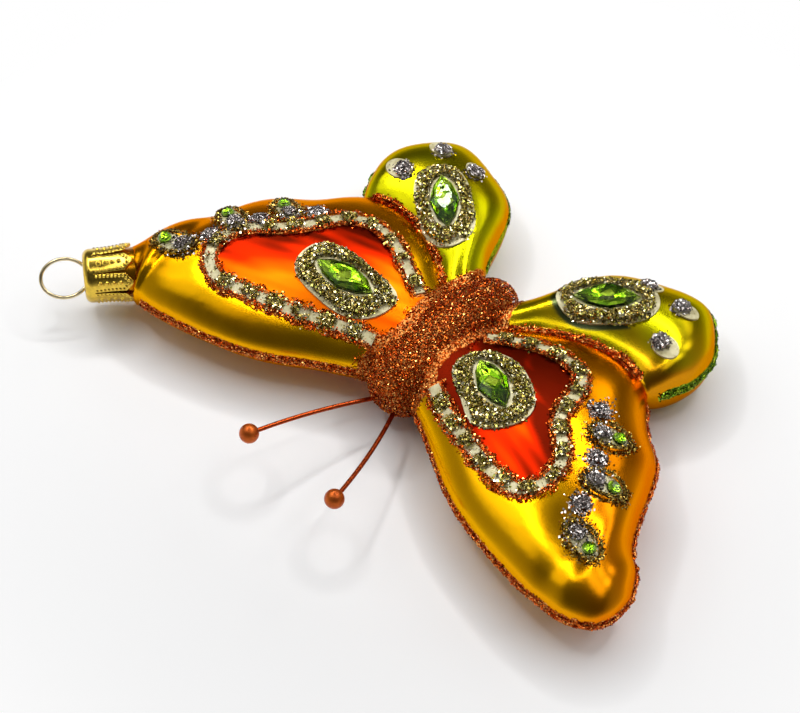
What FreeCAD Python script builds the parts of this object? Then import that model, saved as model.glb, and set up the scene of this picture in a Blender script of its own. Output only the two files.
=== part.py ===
import FreeCAD, Part
import math
import os

import Sketcher
from FreeCAD import Placement, Rotation, Vector

# Blown glass butterfly ornament, lying on its back half. Millimetres and degrees.
# Wing frame: +X to the right wing, -Y to the head, +Z up, Z zero on the mould seam.

SIZES = {
    # blown body: reach of the wings, half thicknesses and wall
    "half_span": 72.5,
    "fore_front": 38.3,
    "fore_back": 22.2,
    "fore_thick": 11.0,
    "hind_reach": 46.9,
    "hind_back": 47.0,
    "hind_thick": 8.6,
    "body_length": 20.5,
    "body_width": 7.3,
    "body_thick": 9.6,
    "glass_wall": 0.9,
    # neck that the glass was blown through
    "neck_heading": 50.8,
    "neck_shoulder": 6.0,
    "neck_radius": 5.6,
    "neck_taper": 1.2,
    "neck_length": 9.85,
    # stamped crown cap
    "cap_length": 11.0,
    "cap_seat_gap": 0.3,
    "cap_wall": 0.35,
    "cap_clearance": 0.15,
    "cap_shoulder": 1.6,
    "cap_tab_count": 8,
    "cap_slit_width": 0.6,
    "cap_slit_depth": 5.6,
    "cap_tab_point": 1.9,
    "cap_tab_tip": 0.5,
    # spring wire hanger
    "hanger_turn": 40.0,
    "hanger_wire": 0.45,
    "hanger_hole_clearance": 0.15,
    "ring_radius": 4.55,
    "ring_gap_angle": 42.0,
    "ring_elbow": 1.2,
    "ring_standoff": 5.15,
    "leg_straight": 5.6,
    "flare_angle": 12.0,
    "flare_elbow": 3.0,
    "flare_length": 5.5,
    # antennae
    "antenna_wire": 0.5,
    "antenna_clearance": 0.12,
    "antenna_reach": 34.7,
    "antenna_bow": 150.0,
    "antenna_heading": 70.6,
    "antenna_rise": 11.1,
    "antenna_bead": 2.15,
    "bead_depth": 1.7,
    # glass stones
    "navette_length": 15.0,
    "navette_width": 7.0,
    "navette_crown": 2.0,
    "navette_girdle": 0.4,
    "chaton_radius": 1.5,
    "chaton_crown": 0.9,
    "chaton_girdle": 0.5,
    # coats on the glass
    "bond_gap": 0.05,
    "coat_gap": 0.06,
    "enamel_thick": 0.35,
    "glitter_thick": 0.8,
    "band_width": 2.4,
    "band_edge_width": 1.5,
    "clump_spacing": 6.2,
    "clump_length": 3.4,
    "seam_width": 2.2,
    "seam_thick": 0.7,
    "groove_width": 1.9,
    "body_coat": 0.9,
    "silver_dot": 1.9,
    "silver_fore_dot": 1.5,
    "spot_patch": 2.3,
    "spot_ring_width": 0.9,
    "hind_patch_length": 3.3,
    "hind_patch_width": 2.5,
    "hind_patch_shift": 1.3,
    "stone_clearance": 0.45,
    "chaton_lift": 0.06,
    "scrap_width": 0.5,
    "overrun": 2.0,
}

# Forewing stations from the middle to the tip: place along the half span, leading edge as a share of
# fore_front, trailing edge as a share of fore_back, half thickness as a share of fore_thick.
FORE_SHARES = [
    (0.000, -0.444, 0.405, 0.727),
    (0.110, -0.509, 0.495, 0.755),
    (0.207, -0.611, 0.734, 0.818),
    (0.331, -0.757, 0.946, 0.927),
    (0.462, -0.872, 1.000, 0.991),
    (0.552, -0.922, 0.892, 1.000),
    (0.634, -0.958, 0.586, 1.000),
    (0.717, -0.987, 0.338, 0.964),
    (0.786, -0.997, 0.081, 0.855),
    (0.834, -1.000, -0.293, 0.790),
    (0.883, -0.997, -0.640, 0.709),
    (0.931, -0.966, -0.811, 0.582),
    (0.966, -0.930, -0.946, 0.455),
    (0.989, -0.875, -1.081, 0.309),
    (1.000, -0.809, -1.216, 0.136),
]
CAPPED_WING_STATIONS = 9
# The capped wing's tip fans round to its neck: leading and trailing points as shares of half_span and
# fore_front, half thickness as a share of fore_thick.
FAN_SHARES = [
    ((-0.817, -0.995), (-0.862, -0.274), 0.782),
    ((-0.828, -0.990), (-0.928, -0.483), 0.673),
]
NECK_START_SHARE = (-0.891, -0.833)
# Hindwing stations: place as a share of hind_reach, front and back as shares of hind_back, upper half
# thickness as a share of hind_thick; the lower half reaches down by the same share of fore_thick.
HIND_SHARES = [
    (0.043, 0.064, 0.277, 0.523),
    (0.117, 0.106, 0.404, 0.640),
    (0.171, 0.138, 0.489, 0.733),
    (0.235, 0.170, 0.649, 0.837),
    (0.320, 0.234, 0.826, 0.930),
    (0.426, 0.287, 0.909, 0.977),
    (0.554, 0.340, 0.960, 1.000),
    (0.682, 0.372, 1.000, 1.000),
    (0.789, 0.372, 0.994, 0.977),
    (0.874, 0.372, 0.928, 0.907),
    (0.938, 0.447, 0.849, 0.744),
    (0.981, 0.543, 0.777, 0.488),
    (1.000, 0.628, 0.702, 0.209),
]
# Body stations from head to tail: place as a share of body_length, half width and half thickness.
BODY_SHARES = [
    (-1.000, 0.137, 0.104),
    (-0.951, 0.521, 0.417),
    (-0.829, 0.822, 0.688),
    (-0.634, 0.959, 0.854),
    (-0.439, 0.904, 0.896),
    (-0.146, 0.986, 1.000),
    (0.195, 1.000, 1.000),
    (0.488, 0.904, 0.854),
    (0.683, 0.767, 0.708),
    (0.829, 0.603, 0.542),
    (0.927, 0.411, 0.333),
    (0.976, 0.137, 0.104),
]
# Centre line of each wing's band, from the head side round to the tail side, as shares of half_span and
# fore_front. The two were laid on by hand and differ.
BAND_SHARES = {
    "right": [(0.128, -0.392), (0.237, -0.499), (0.372, -0.593), (0.488, -0.653), (0.586, -0.632),
              (0.618, -0.520), (0.586, -0.319), (0.507, -0.161), (0.482, 0.026), (0.447, 0.164),
              (0.331, 0.214), (0.217, 0.157), (0.130, 0.062)],
    "left": [(-0.118, -0.379), (-0.247, -0.462), (-0.375, -0.567), (-0.517, -0.648), (-0.647, -0.676),
             (-0.703, -0.551), (-0.683, -0.350), (-0.594, -0.180), (-0.526, 0.010), (-0.480, 0.157),
             (-0.388, 0.230), (-0.263, 0.165), (-0.130, 0.044)],
}
# Crease between fore and hindwing, as shares of half_span and fore_back.
GROOVE_SHARES = [(0.124, 0.450), (0.214, 0.665), (0.300, 0.797), (0.403, 0.896), (0.480, 0.885), (0.538, 0.820)]
# Navette stones: centre as shares of half_span and fore_front, or of hind_reach and hind_back on a
# hindwing, and heading of the long axis in degrees.
NAVETTE_PLACES = {
    "fore_right": ((0.274, -0.209), -27.0),
    "fore_left": ((-0.324, -0.206), 189.0),
    "hind_right": ((0.457, 0.606), 39.0),
    "hind_left": ((-0.509, 0.549), 137.0),
}
# Outline of each stone's pad in its own stone's frame, as shares of navette_length, anticlockwise.
PAD_SHARES = {
    "fore_right": [(0.78, -0.12), (0.66, 0.34), (0.16, 0.50), (-0.38, 0.42), (-0.68, 0.04), (-0.56, -0.38),
                   (-0.08, -0.48), (0.44, -0.52)],
    "fore_left": [(0.76, -0.10), (0.66, 0.32), (0.20, 0.50), (-0.36, 0.52), (-0.78, 0.22), (-0.82, -0.16),
                  (-0.36, -0.36), (0.34, -0.44)],
    "hind_right": [(0.78, 0.02), (0.60, 0.36), (0.10, 0.42), (-0.46, 0.36), (-0.74, 0.06), (-0.54, -0.34),
                   (0.02, -0.46), (0.56, -0.38)],
    "hind_left": [(0.76, 0.04), (0.52, 0.40), (-0.08, 0.42), (-0.62, 0.30), (-0.84, -0.02), (-0.62, -0.36),
                  (-0.04, -0.42), (0.52, -0.34)],
}
# Round stones on the right forewing, each with the silver clump inward of it; the left is their mirror.
CHATON_SHARES = [
    ((0.845, -0.684), (0.790, -0.656)),
    ((0.766, -0.313), (0.721, -0.346)),
    ((0.669, -0.034), (0.629, -0.073)),
]
LOOSE_SILVER_SHARES = [(0.741, -0.510), (0.673, -0.230), (0.571, 0.052)]
# Silver dots on the right hindwing as shares of hind_reach and hind_back, the heading of the cream patch
# that shows beside each in degrees, and that patch's share of its full size.
HIND_SPOTS = [((0.544, 0.817), 30.0, 0.75), ((0.748, 0.806), 10.0, 0.9), ((0.806, 0.572), 0.0, 1.0)]
# Start of the right antenna inside the head, as shares of body_width, body_length and body_thick.
ANTENNA_ROOT_SHARES = (0.15, -0.80, -0.44)
# Navette plan, as shares of its half length and half width, and the share of the plan left as its table.
NAVETTE_PLAN_SHARES = [(1.0, 0.0), (0.62, 0.62), (0.0, 1.0), (-0.62, 0.62), (-1.0, 0.0), (-0.62, -0.62),
                       (0.0, -1.0), (0.62, -0.62)]
TABLE_SHARE = 0.56
# Where the seam's glitter starts beside the head, meets the hindwing, and stops short of the neck, as
# shares of half_span; and where the hindwing's starts and stops, as shares of hind_reach.
SEAM_START_SHARE = 0.12
SEAM_JUNCTION_SHARE = 0.60
CAPPED_SEAM_LEAD_SHARE = 0.79
CAPPED_SEAM_TRAIL_SHARE = 0.85
HIND_SEAM_SHARES = (0.95, 0.16)
PAD_GLITTER_SHARE = 0.90
PAD_MARGIN_SHARE = 0.015
CLUMP_LEAD_SHARE = 0.5
SECTION_STEPS = 8
CURVE_STEPS = 36
SEARCH_STEPS = 40
KEY_DIGITS = 6
ON_AXIS = 1e-6

doc = FreeCAD.newDocument("butterfly_ornament")
sheet = doc.addObject("Spreadsheet::Sheet", "Sizes")
for row, (alias, value) in enumerate(SIZES.items(), start=1):
    sheet.set("A%d" % row, alias)
    sheet.set("B%d" % row, str(value))
    sheet.setAlias("B%d" % row, alias)
doc.recompute()


def size(alias):
    """A driving dimension, read from the sheet."""
    return float(getattr(sheet, alias))


def flat(share, across="half_span", along="fore_front"):
    """Point on the seam plane from a pair of shares."""
    return Vector(share[0] * size(across), share[1] * size(along), 0)


def midpoint(start, end):
    return start + (end - start) / 2


# Blown body

def half_section(centre, chord, half_width, height, sign):
    """Upper (sign 1) or lower (sign -1) half of an elliptic section, as one spline edge."""
    points = []
    for step in range(SECTION_STEPS + 1):
        angle = math.pi * step / SECTION_STEPS
        sideways = chord * (half_width * math.cos(angle) * sign)
        points.append(centre + sideways + Vector(0, 0, height * math.sin(angle) * sign))
    curve = Part.BSplineCurve()
    curve.interpolate(Points=points, Parameters=[step / SECTION_STEPS for step in range(SECTION_STEPS + 1)])
    return curve.toShape()


def section(start, end, upper, lower, grow):
    """Closed section on the chord from start to end, grown outwards by grow."""
    chord = end - start
    half_width = chord.Length / 2 + grow
    chord.normalize()
    centre = midpoint(start, end)
    return Part.Wire([half_section(centre, chord, half_width, upper + grow, 1),
                      half_section(centre, chord, half_width, lower + grow, -1)])


def neck_direction():
    angle = math.radians(size("neck_heading"))
    return Vector(-math.cos(angle), -math.sin(angle), 0)


def neck_circle(along, radius):
    """Round section of the neck at a distance along its axis."""
    axis = neck_direction()
    across = Vector(axis.y, -axis.x, 0)
    centre = flat(NECK_START_SHARE) + axis * along
    return section(centre - across * radius, centre + across * radius, radius, radius, 0)


def neck_sections(grow):
    """The neck's shoulder and the end of its taper, where its straight tube starts."""
    return [neck_circle(0, size("neck_shoulder") + grow), neck_circle(size("neck_taper"), size("neck_radius") + grow)]


def forewings(grow):
    """Both forewings and the neck as one loft from the right tip to the mouth."""
    span = size("half_span")
    front = size("fore_front")
    back = size("fore_back")
    thick = size("fore_thick")
    sections = []
    for side in (1, -1):
        stations = FORE_SHARES[::-1] if side == 1 else FORE_SHARES[1:CAPPED_WING_STATIONS]
        for place, lead, trail, share in stations:
            x = side * place * (span + grow)
            sections.append(section(Vector(x, lead * front, 0), Vector(x, trail * back, 0),
                                    share * thick, share * thick, grow))
    for lead, trail, share in FAN_SHARES:
        sections.append(section(flat(lead), flat(trail), share * thick, share * thick, grow))
    return Part.makeLoft(sections + neck_sections(grow), True, False)


def hindwing(side, grow):
    reach = size("hind_reach")
    back = size("hind_back")
    sections = []
    for place, front_share, back_share, share in HIND_SHARES:
        x = side * place * (reach + grow)
        sections.append(section(Vector(x, front_share * back, 0), Vector(x, back_share * back, 0),
                                share * size("hind_thick"), share * size("fore_thick"), grow))
    return Part.makeLoft(sections, True, False)


def body_loft(grow):
    length = size("body_length")
    sections = []
    for place, width_share, thick_share in BODY_SHARES:
        y = place * (length + grow)
        half = width_share * size("body_width")
        thick = thick_share * size("body_thick")
        sections.append(section(Vector(-half, y, 0), Vector(half, y, 0), thick, thick, grow))
    return Part.makeLoft(sections, True, False)


def wings_and_body(grow):
    return forewings(grow).fuse([hindwing(1, grow), hindwing(-1, grow), body_loft(grow)])


def mouth_face(solid):
    """The flat face that closes the neck's taper."""
    mouth = flat(NECK_START_SHARE) + neck_direction() * size("neck_taper")
    return min(solid.Faces, key=lambda face: face.CenterOfMass.distanceToPoint(mouth))


def blown_glass():
    """Hollow body: outer skin, inner skin and the ring at the mouth sewn into one solid."""
    outer = wings_and_body(0)
    inner = wings_and_body(-size("glass_wall"))
    outer_mouth = mouth_face(outer)
    inner_mouth = mouth_face(inner)
    faces = [face for face in outer.Faces if not face.isSame(outer_mouth)]
    faces += [face.reversed() for face in inner.Faces if not face.isSame(inner_mouth)]
    faces += outer_mouth.cut(inner_mouth).Faces
    skins = Part.Compound(faces)
    skins.sewShape()
    return Part.Solid(skins.Shells[0])


# Skins, plan faces and coats laid between two skins

skins = {}


def skin(name, grow):
    """Solid of one form grown by a coat's height above the glass; each is made once."""
    key = (name, round(grow, KEY_DIGITS))
    if key not in skins:
        makers = {
            "fore": lambda: forewings(grow),
            "hind_right": lambda: hindwing(1, grow),
            "hind_left": lambda: hindwing(-1, grow),
            "body": lambda: body_loft(grow),
        }
        skins[key] = makers[name]()
    return skins[key]


def form_of(place):
    """The form that carries a place such as fore_left or hind_right."""
    return "fore" if place.startswith("fore") else place


def surface_point(form, x, y):
    """Point and outward normal of a form's upper skin above (x, y)."""
    tops = [face for face in skin(form, 0).Faces if face.CenterOfMass.z > 0]
    top = max(tops, key=lambda face: face.Area)
    foot = Vector(x, y, size("fore_thick"))
    for _ in range(SECTION_STEPS):
        across, along = top.Surface.parameter(foot)
        foot = Vector(x, y, top.Surface.value(across, along).z)
    normal = top.Surface.normal(across, along)
    if normal.z < 0:
        normal = normal * -1
    return foot, normal


def smooth_curve(points, closed=False):
    curve = Part.BSplineCurve()
    curve.interpolate(Points=points, PeriodicFlag=closed)
    return curve


def offset_points(points, distance):
    """Points moved to the left of their run by a distance."""
    moved = []
    for index, point in enumerate(points):
        before = points[max(index - 1, 0)]
        after = points[min(index + 1, len(points) - 1)]
        run = after - before
        run.normalize()
        moved.append(point + Vector(-run.y, run.x, 0) * distance)
    return moved


def points_along(curve, start=0.0, end=1.0, steps=CURVE_STEPS):
    """Evenly spaced points on a stretch of a curve, given as shares of its length."""
    edge = curve.toShape()
    first = edge.Length * start
    stretch = edge.Length * (end - start)
    return [curve.value(edge.getParameterByLength(first + stretch * step / steps)) for step in range(steps + 1)]


def strip_face(points, near, far):
    """Plan face between two offsets of a run of points."""
    one = smooth_curve(offset_points(points, near))
    other = smooth_curve(offset_points(points, far))
    start = Part.makeLine(one.StartPoint, other.StartPoint)
    end = Part.makeLine(one.EndPoint, other.EndPoint)
    return Part.Face(Part.Wire([one.toShape(), end, other.toShape(), start]))


def ellipse_face(centre, half_length, half_width, heading=0.0):
    """Plan face of an ellipse; its half length is the longer one."""
    oval = Part.Ellipse(centre, half_length, half_width)
    face = Part.Face(Part.Wire([oval.toShape()]))
    face.rotate(centre, Vector(0, 0, 1), heading)
    return face


def round_face(centre, radius):
    return Part.Face(Part.Wire([Part.Circle(centre, Vector(0, 0, 1), radius).toShape()]))


def cleared(faces, kept_free):
    """Plan faces less the ground that other coats keep, without the scraps this leaves."""
    left = []
    for face in faces:
        for taken in kept_free:
            face = face.cut(taken)
        left += [piece for piece in face.Faces if piece.Area > size("scrap_width") ** 2]
    return left


def laid_on(form, faces, low, high, spared=()):
    """Coat over plan faces, between two heights above a form, less the solids it is spared from."""
    tall = size("fore_thick") + size("body_thick")
    prisms = Part.Compound([face.extrude(Vector(0, 0, tall)) for face in faces])
    coat = prisms.common(skin(form, high)).cut(skin(form, low))
    for solid in spared:
        coat = coat.cut(solid)
    return coat


def parameter_at(curve, low, high, x):
    """Parameter where a curve that runs steadily along x reaches x, by halving."""
    rising = curve.value(high).x > curve.value(low).x
    for _ in range(SEARCH_STEPS):
        middle = (low + high) / 2
        if (curve.value(middle).x < x) == rising:
            low = middle
        else:
            high = middle
    return low


def seam_points(form, grow, lead, start, stop):
    """Points on a form's mould seam, grown by grow, from x = start to x = stop."""
    longest = sorted(skin(form, grow).Edges, key=lambda edge: edge.Length)[-2:]
    edge = sorted(longest, key=lambda edge: edge.CenterOfMass.y)[0 if lead else 1]
    first, last = edge.ParameterRange
    begin = parameter_at(edge.Curve, first, last, start)
    end = parameter_at(edge.Curve, first, last, stop)
    return [edge.Curve.value(begin + (end - begin) * step / CURVE_STEPS) for step in range(CURVE_STEPS + 1)]


def seam_belt(form, runs):
    """Upright strip of glitter along one or more joined runs of a form's seam."""
    rims = []
    for grow in (size("bond_gap"), size("bond_gap") + size("seam_thick")):
        points = []
        for lead, start, stop in runs:
            points += seam_points(form, grow, lead, start, stop)
        rims.append(smooth_curve(points))
    near, far = rims
    first = Part.makeLine(near.StartPoint, far.StartPoint)
    last = Part.makeLine(near.EndPoint, far.EndPoint)
    face = Part.Face(Part.Wire([near.toShape(), last, far.toShape(), first]))
    face.translate(Vector(0, 0, -size("seam_width") / 2))
    return face.extrude(Vector(0, 0, size("seam_width")))


# Document objects

nodes = []


def add_node(name, shape):
    """Free-form sub-part from Part's own functions."""
    feature = doc.addObject("Part::Feature", name)
    feature.Label = name
    feature.Shape = shape
    nodes.append(feature)
    return feature


def origin_plane(body, role):
    return [plane for plane in body.Origin.OriginFeatures if plane.Role == role][0]


def new_sketch(body, name, plane, lift=None):
    """Sketch on one of the body's own planes, lifted by an expression."""
    sketch = body.newObject("Sketcher::SketchObject", name)
    sketch.AttachmentSupport = (origin_plane(body, plane), [""])
    sketch.MapMode = "FlatFace"
    if lift:
        sketch.setExpression("AttachmentOffset.Base.z", lift)
    return sketch


def bind(sketch, kind, geometry, formula):
    """Adds a sketch constraint and ties its value to a formula of the sheet."""
    value = float(sketch.evalExpression(formula))
    number = sketch.addConstraint(Sketcher.Constraint(kind, *geometry, value))
    sketch.setExpression("Constraints[%d]" % number, formula)


def place_corner(sketch, edge, x, y, x_formula, y_formula):
    """Fixes the start of one edge at (x, y), each given as a number and a formula of its size."""
    for kind, value, formula, axis in (("DistanceX", x, x_formula, -2), ("DistanceY", y, y_formula, -1)):
        if abs(value) < ON_AXIS:
            sketch.addConstraint(Sketcher.Constraint("PointOnObject", edge, 1, axis))
        elif value > 0:
            bind(sketch, kind, (-1, 1, edge, 1), formula)
        else:
            bind(sketch, kind, (edge, 1, -1, 1), formula)


def polygon_sketch(body, name, plane, corners, lift=None):
    """Closed polygon whose corners are (x, y, x_formula, y_formula)."""
    sketch = new_sketch(body, name, plane, lift)
    count = len(corners)
    for index in range(count):
        here, there = corners[index], corners[(index + 1) % count]
        sketch.addGeometry(Part.LineSegment(Vector(here[0], here[1], 0), Vector(there[0], there[1], 0)), False)
    for index in range(count):
        sketch.addConstraint(Sketcher.Constraint("Coincident", index, 2, (index + 1) % count, 1))
    for index, corner in enumerate(corners):
        place_corner(sketch, index, *corner)
    return sketch


def gem_corners(plan_shares, length, width, table_share):
    """Corners of a gem's plan, drawn in by a share, bound to its half length and half width.

    length and width are each a size's alias and the share of it that the half measure is."""
    corners = []
    for along, across in plan_shares:
        x, y = along * table_share, across * table_share
        corners.append((x * size(length[0]) * length[1], y * size(width[0]) * width[1],
                        "Sizes.%s * %.5f" % (length[0], abs(x) * length[1]),
                        "Sizes.%s * %.5f" % (width[0], abs(y) * width[1])))
    return corners


def add_gem(name, plan_shares, length, width, girdle, crown):
    """Faceted flat-backed stone: a girdle, then crown facets up to its table."""
    body = doc.addObject("PartDesign::Body", name)
    body.Label = name
    levels = [(1.0, None), (1.0, "Sizes.%s" % girdle), (TABLE_SHARE, "Sizes.%s + Sizes.%s" % (girdle, crown))]
    sketches = []
    for index, (share, lift) in enumerate(levels):
        corners = gem_corners(plan_shares, length, width, share)
        sketches.append(polygon_sketch(body, "%s_level_%d" % (name, index), "XY_Plane", corners, lift))
    loft = body.newObject("PartDesign::AdditiveLoft", name + "_facets")
    loft.Profile = sketches[0]
    loft.Sections = sketches[1:]
    loft.Ruled = True
    nodes.append(body)
    return body


def tangent_placement(form, x, y, lift, heading):
    """Placement on a form's upper skin, lifted along the normal and turned to a heading."""
    foot, normal = surface_point(form, x, y)
    tilt = Rotation(Vector(0, 0, 1), normal)
    return Placement(foot + normal * lift, tilt.multiply(Rotation(Vector(0, 0, 1), heading)))


def place_sizes(place):
    """The two sizes that places on a fore or hindwing are shares of."""
    return ("half_span", "fore_front") if place.startswith("fore") else ("hind_reach", "hind_back")


def stone_centre(place):
    return flat(NAVETTE_PLACES[place][0], *place_sizes(place))


def pad_face(place, draw_in=1.0):
    """Plan outline of a stone's pad, set under its stone."""
    centre = stone_centre(place)
    turn = Rotation(Vector(0, 0, 1), NAVETTE_PLACES[place][1])
    scale = size("navette_length") * draw_in
    points = [centre + turn.multVec(Vector(x, y, 0)) * scale for x, y in PAD_SHARES[place]]
    return Part.Face(Part.Wire([smooth_curve(points, closed=True).toShape()]))


# Heights of the coats above the glass

def enamel_levels():
    return size("bond_gap"), size("bond_gap") + size("enamel_thick")


def glitter_levels():
    return size("bond_gap"), size("bond_gap") + size("glitter_thick")


def over_enamel():
    """Height of what lies on the enamel: a stone's back or the underside of a clump."""
    return enamel_levels()[1] + size("coat_gap")


def raised_glitter_levels():
    return over_enamel(), over_enamel() + size("glitter_thick")


def mirrored(share, side):
    return (share[0] * side, share[1])


# Blown body, neck and antennae

def antenna_start(side):
    across, along, up = ANTENNA_ROOT_SHARES
    return Vector(side * across * size("body_width"), along * size("body_length"), up * size("body_thick"))


def antenna_turn():
    """Half the angle that a wire's bow turns through."""
    return math.degrees(math.asin(size("antenna_reach") / 2 / size("antenna_bow")))


def antenna_rotation(side, turned):
    """Turns +X to the wire's direction: turned is 0 at its root, 1 along its chord and 2 at its bead."""
    heading = -90 + side * (90 - size("antenna_heading") + antenna_turn())
    upward = Rotation(Vector(0, 1, 0), -size("antenna_rise"))
    in_plane = Rotation(Vector(0, 0, 1), -side * turned * antenna_turn())
    return Rotation(Vector(0, 0, 1), heading).multiply(upward).multiply(in_plane)


def antenna_hole(side):
    """Clearance hole for a wire, from inside the head outwards."""
    heading = antenna_rotation(side, 0).multVec(Vector(1, 0, 0))
    radius = size("antenna_wire") + size("antenna_clearance")
    return Part.makeCylinder(radius, size("body_width"), antenna_start(side), heading)


def add_blown_glass():
    glass = blown_glass()
    for side in (1, -1):
        glass = glass.cut(antenna_hole(side))
    add_node("glass_body", glass)


def neck_placement(along):
    """Frame on the neck's axis: +Z out through the mouth, +X across in the hanger ring's plane."""
    axis = neck_direction()
    flat_across = Vector(axis.y, -axis.x, 0)
    turn = math.radians(size("hanger_turn"))
    across = flat_across * math.cos(turn) + Vector(0, 0, 1) * math.sin(turn)
    return Placement(flat(NECK_START_SHARE) + axis * along, Rotation(across, axis.cross(across), axis, "ZXY"))


def add_primitive(kind, name, formulas, placement=None):
    """Part primitive whose sizes are bound to formulas of the sheet."""
    item = doc.addObject(kind, name)
    for prop, formula in formulas.items():
        item.setExpression(prop, formula)
    if placement:
        item.Placement = placement
    return item


def add_neck():
    wall = add_primitive("Part::Cylinder", "neck_wall", {
        "Radius": "Sizes.neck_radius",
        "Height": "Sizes.neck_length",
    })
    bore = add_primitive("Part::Cylinder", "neck_bore", {
        "Radius": "Sizes.neck_radius - Sizes.glass_wall",
        "Height": "Sizes.neck_length + 2 * Sizes.overrun",
    }, Placement(Vector(0, 0, -size("overrun")), Rotation()))
    neck = doc.addObject("Part::Cut", "glass_neck")
    neck.Label = "glass_neck"
    neck.Base = wall
    neck.Tool = bore
    neck.Placement = neck_placement(size("neck_taper"))
    nodes.append(neck)


def add_antenna(side, name):
    """Bowed wire from inside the head to inside its bead, drawn from its start along +X."""
    body = doc.addObject("PartDesign::Body", "antenna_wire_" + name)
    body.Label = "antenna_wire_" + name
    bow = size("antenna_bow")
    turn = 2 * math.radians(antenna_turn())
    quarter = math.pi / 2
    first, last = (quarter - turn, quarter) if side == 1 else (-quarter, turn - quarter)
    path = new_sketch(body, "antenna_path_" + name, "XY_Plane")
    circle = Part.Circle(Vector(0, -side * bow, 0), Vector(0, 0, 1), bow)
    path.addGeometry(Part.ArcOfCircle(circle, first, last), False)
    path.addConstraint(Sketcher.Constraint("Coincident", 0, 2 if side == 1 else 1, -1, 1))
    path.addConstraint(Sketcher.Constraint("PointOnObject", 0, 3, -2))
    bind(path, "Radius", (0,), "Sizes.antenna_bow")
    bind(path, "Distance", (0, 1, 0, 2), "Sizes.antenna_reach")
    ring = new_sketch(body, "antenna_section_" + name, "YZ_Plane")
    ring.addGeometry(Part.Circle(Vector(0, 0, 0), Vector(0, 0, 1), size("antenna_wire")), False)
    ring.addConstraint(Sketcher.Constraint("Coincident", 0, 3, -1, 1))
    bind(ring, "Radius", (0,), "Sizes.antenna_wire")
    pipe = body.newObject("PartDesign::AdditivePipe", "antenna_pipe_" + name)
    pipe.Profile = ring
    pipe.Spine = path
    body.Placement = Placement(antenna_start(side), antenna_rotation(side, 0))
    nodes.append(body)


def add_antenna_bead(side, name):
    """Bead with a blind bore that the wire's end is glued into."""
    ball = add_primitive("Part::Sphere", "antenna_ball_" + name, {"Radius": "Sizes.antenna_bead"})
    bore = add_primitive("Part::Cylinder", "antenna_bore_" + name, {
        "Radius": "Sizes.antenna_wire + Sizes.bond_gap",
        "Height": "Sizes.bead_depth + Sizes.bond_gap + Sizes.overrun",
    }, Placement(Vector(-size("antenna_bead") - size("overrun"), 0, 0), Rotation(Vector(0, 1, 0), 90)))
    bead = doc.addObject("Part::Cut", "antenna_bead_" + name)
    bead.Label = "antenna_bead_" + name
    bead.Base = ball
    bead.Tool = bore
    chord = antenna_rotation(side, 1).multVec(Vector(size("antenna_reach"), 0, 0))
    ahead = antenna_rotation(side, 2)
    inward = ahead.multVec(Vector(size("antenna_bead") - size("bead_depth"), 0, 0))
    bead.Placement = Placement(antenna_start(side) + chord + inward, ahead)
    nodes.append(bead)


# Cap and hanger, both drawn in the cap's frame: its open rim at zero, +Z to its crown

def cap_start():
    """Distance along the neck's axis at which the cap's rim stands: its shoulder clears the neck's mouth."""
    mouth = size("neck_taper") + size("neck_length")
    inside = size("cap_shoulder") - size("cap_wall")
    room = inside - math.sqrt(inside ** 2 - (inside - size("cap_clearance")) ** 2)
    return mouth + room + size("cap_seat_gap") + size("cap_wall") - size("cap_length")


CAP_RADIUS = "(Sizes.neck_radius + Sizes.cap_clearance + Sizes.cap_wall)"
LEG_OFFSET = "((Sizes.ring_radius + Sizes.ring_elbow) * sin(Sizes.ring_gap_angle) - Sizes.ring_elbow)"


def leg_offset():
    reach = size("ring_radius") + size("ring_elbow")
    return reach * math.sin(math.radians(size("ring_gap_angle"))) - size("ring_elbow")


def lowest_face(shape):
    index = min(range(len(shape.Faces)), key=lambda item: shape.Faces[item].CenterOfMass.z)
    return "Face%d" % (index + 1)


def top_rim(shape):
    """Name of the round edge at the highest level."""
    index = max(range(len(shape.Edges)), key=lambda item: shape.Edges[item].CenterOfMass.z)
    return "Edge%d" % (index + 1)


def slit_corners():
    """Half-width, height pairs down one side of the notch between two tabs, as numbers and formulas."""
    radius = size("neck_radius") + size("cap_clearance") + size("cap_wall")
    notch = radius * math.tan(math.pi / size("cap_tab_count")) - size("cap_tab_tip") / 2
    notch_formula = "%s * tan(180 / Sizes.cap_tab_count) - Sizes.cap_tab_tip / 2" % CAP_RADIUS
    slit = size("cap_slit_width") / 2
    slit_formula = "Sizes.cap_slit_width / 2"
    return [
        (notch, -size("overrun"), notch_formula, "Sizes.overrun"),
        (notch, 0.0, notch_formula, ""),
        (slit, size("cap_tab_point"), slit_formula, "Sizes.cap_tab_point"),
        (slit, size("cap_slit_depth"), slit_formula, "Sizes.cap_slit_depth"),
    ]


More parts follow.
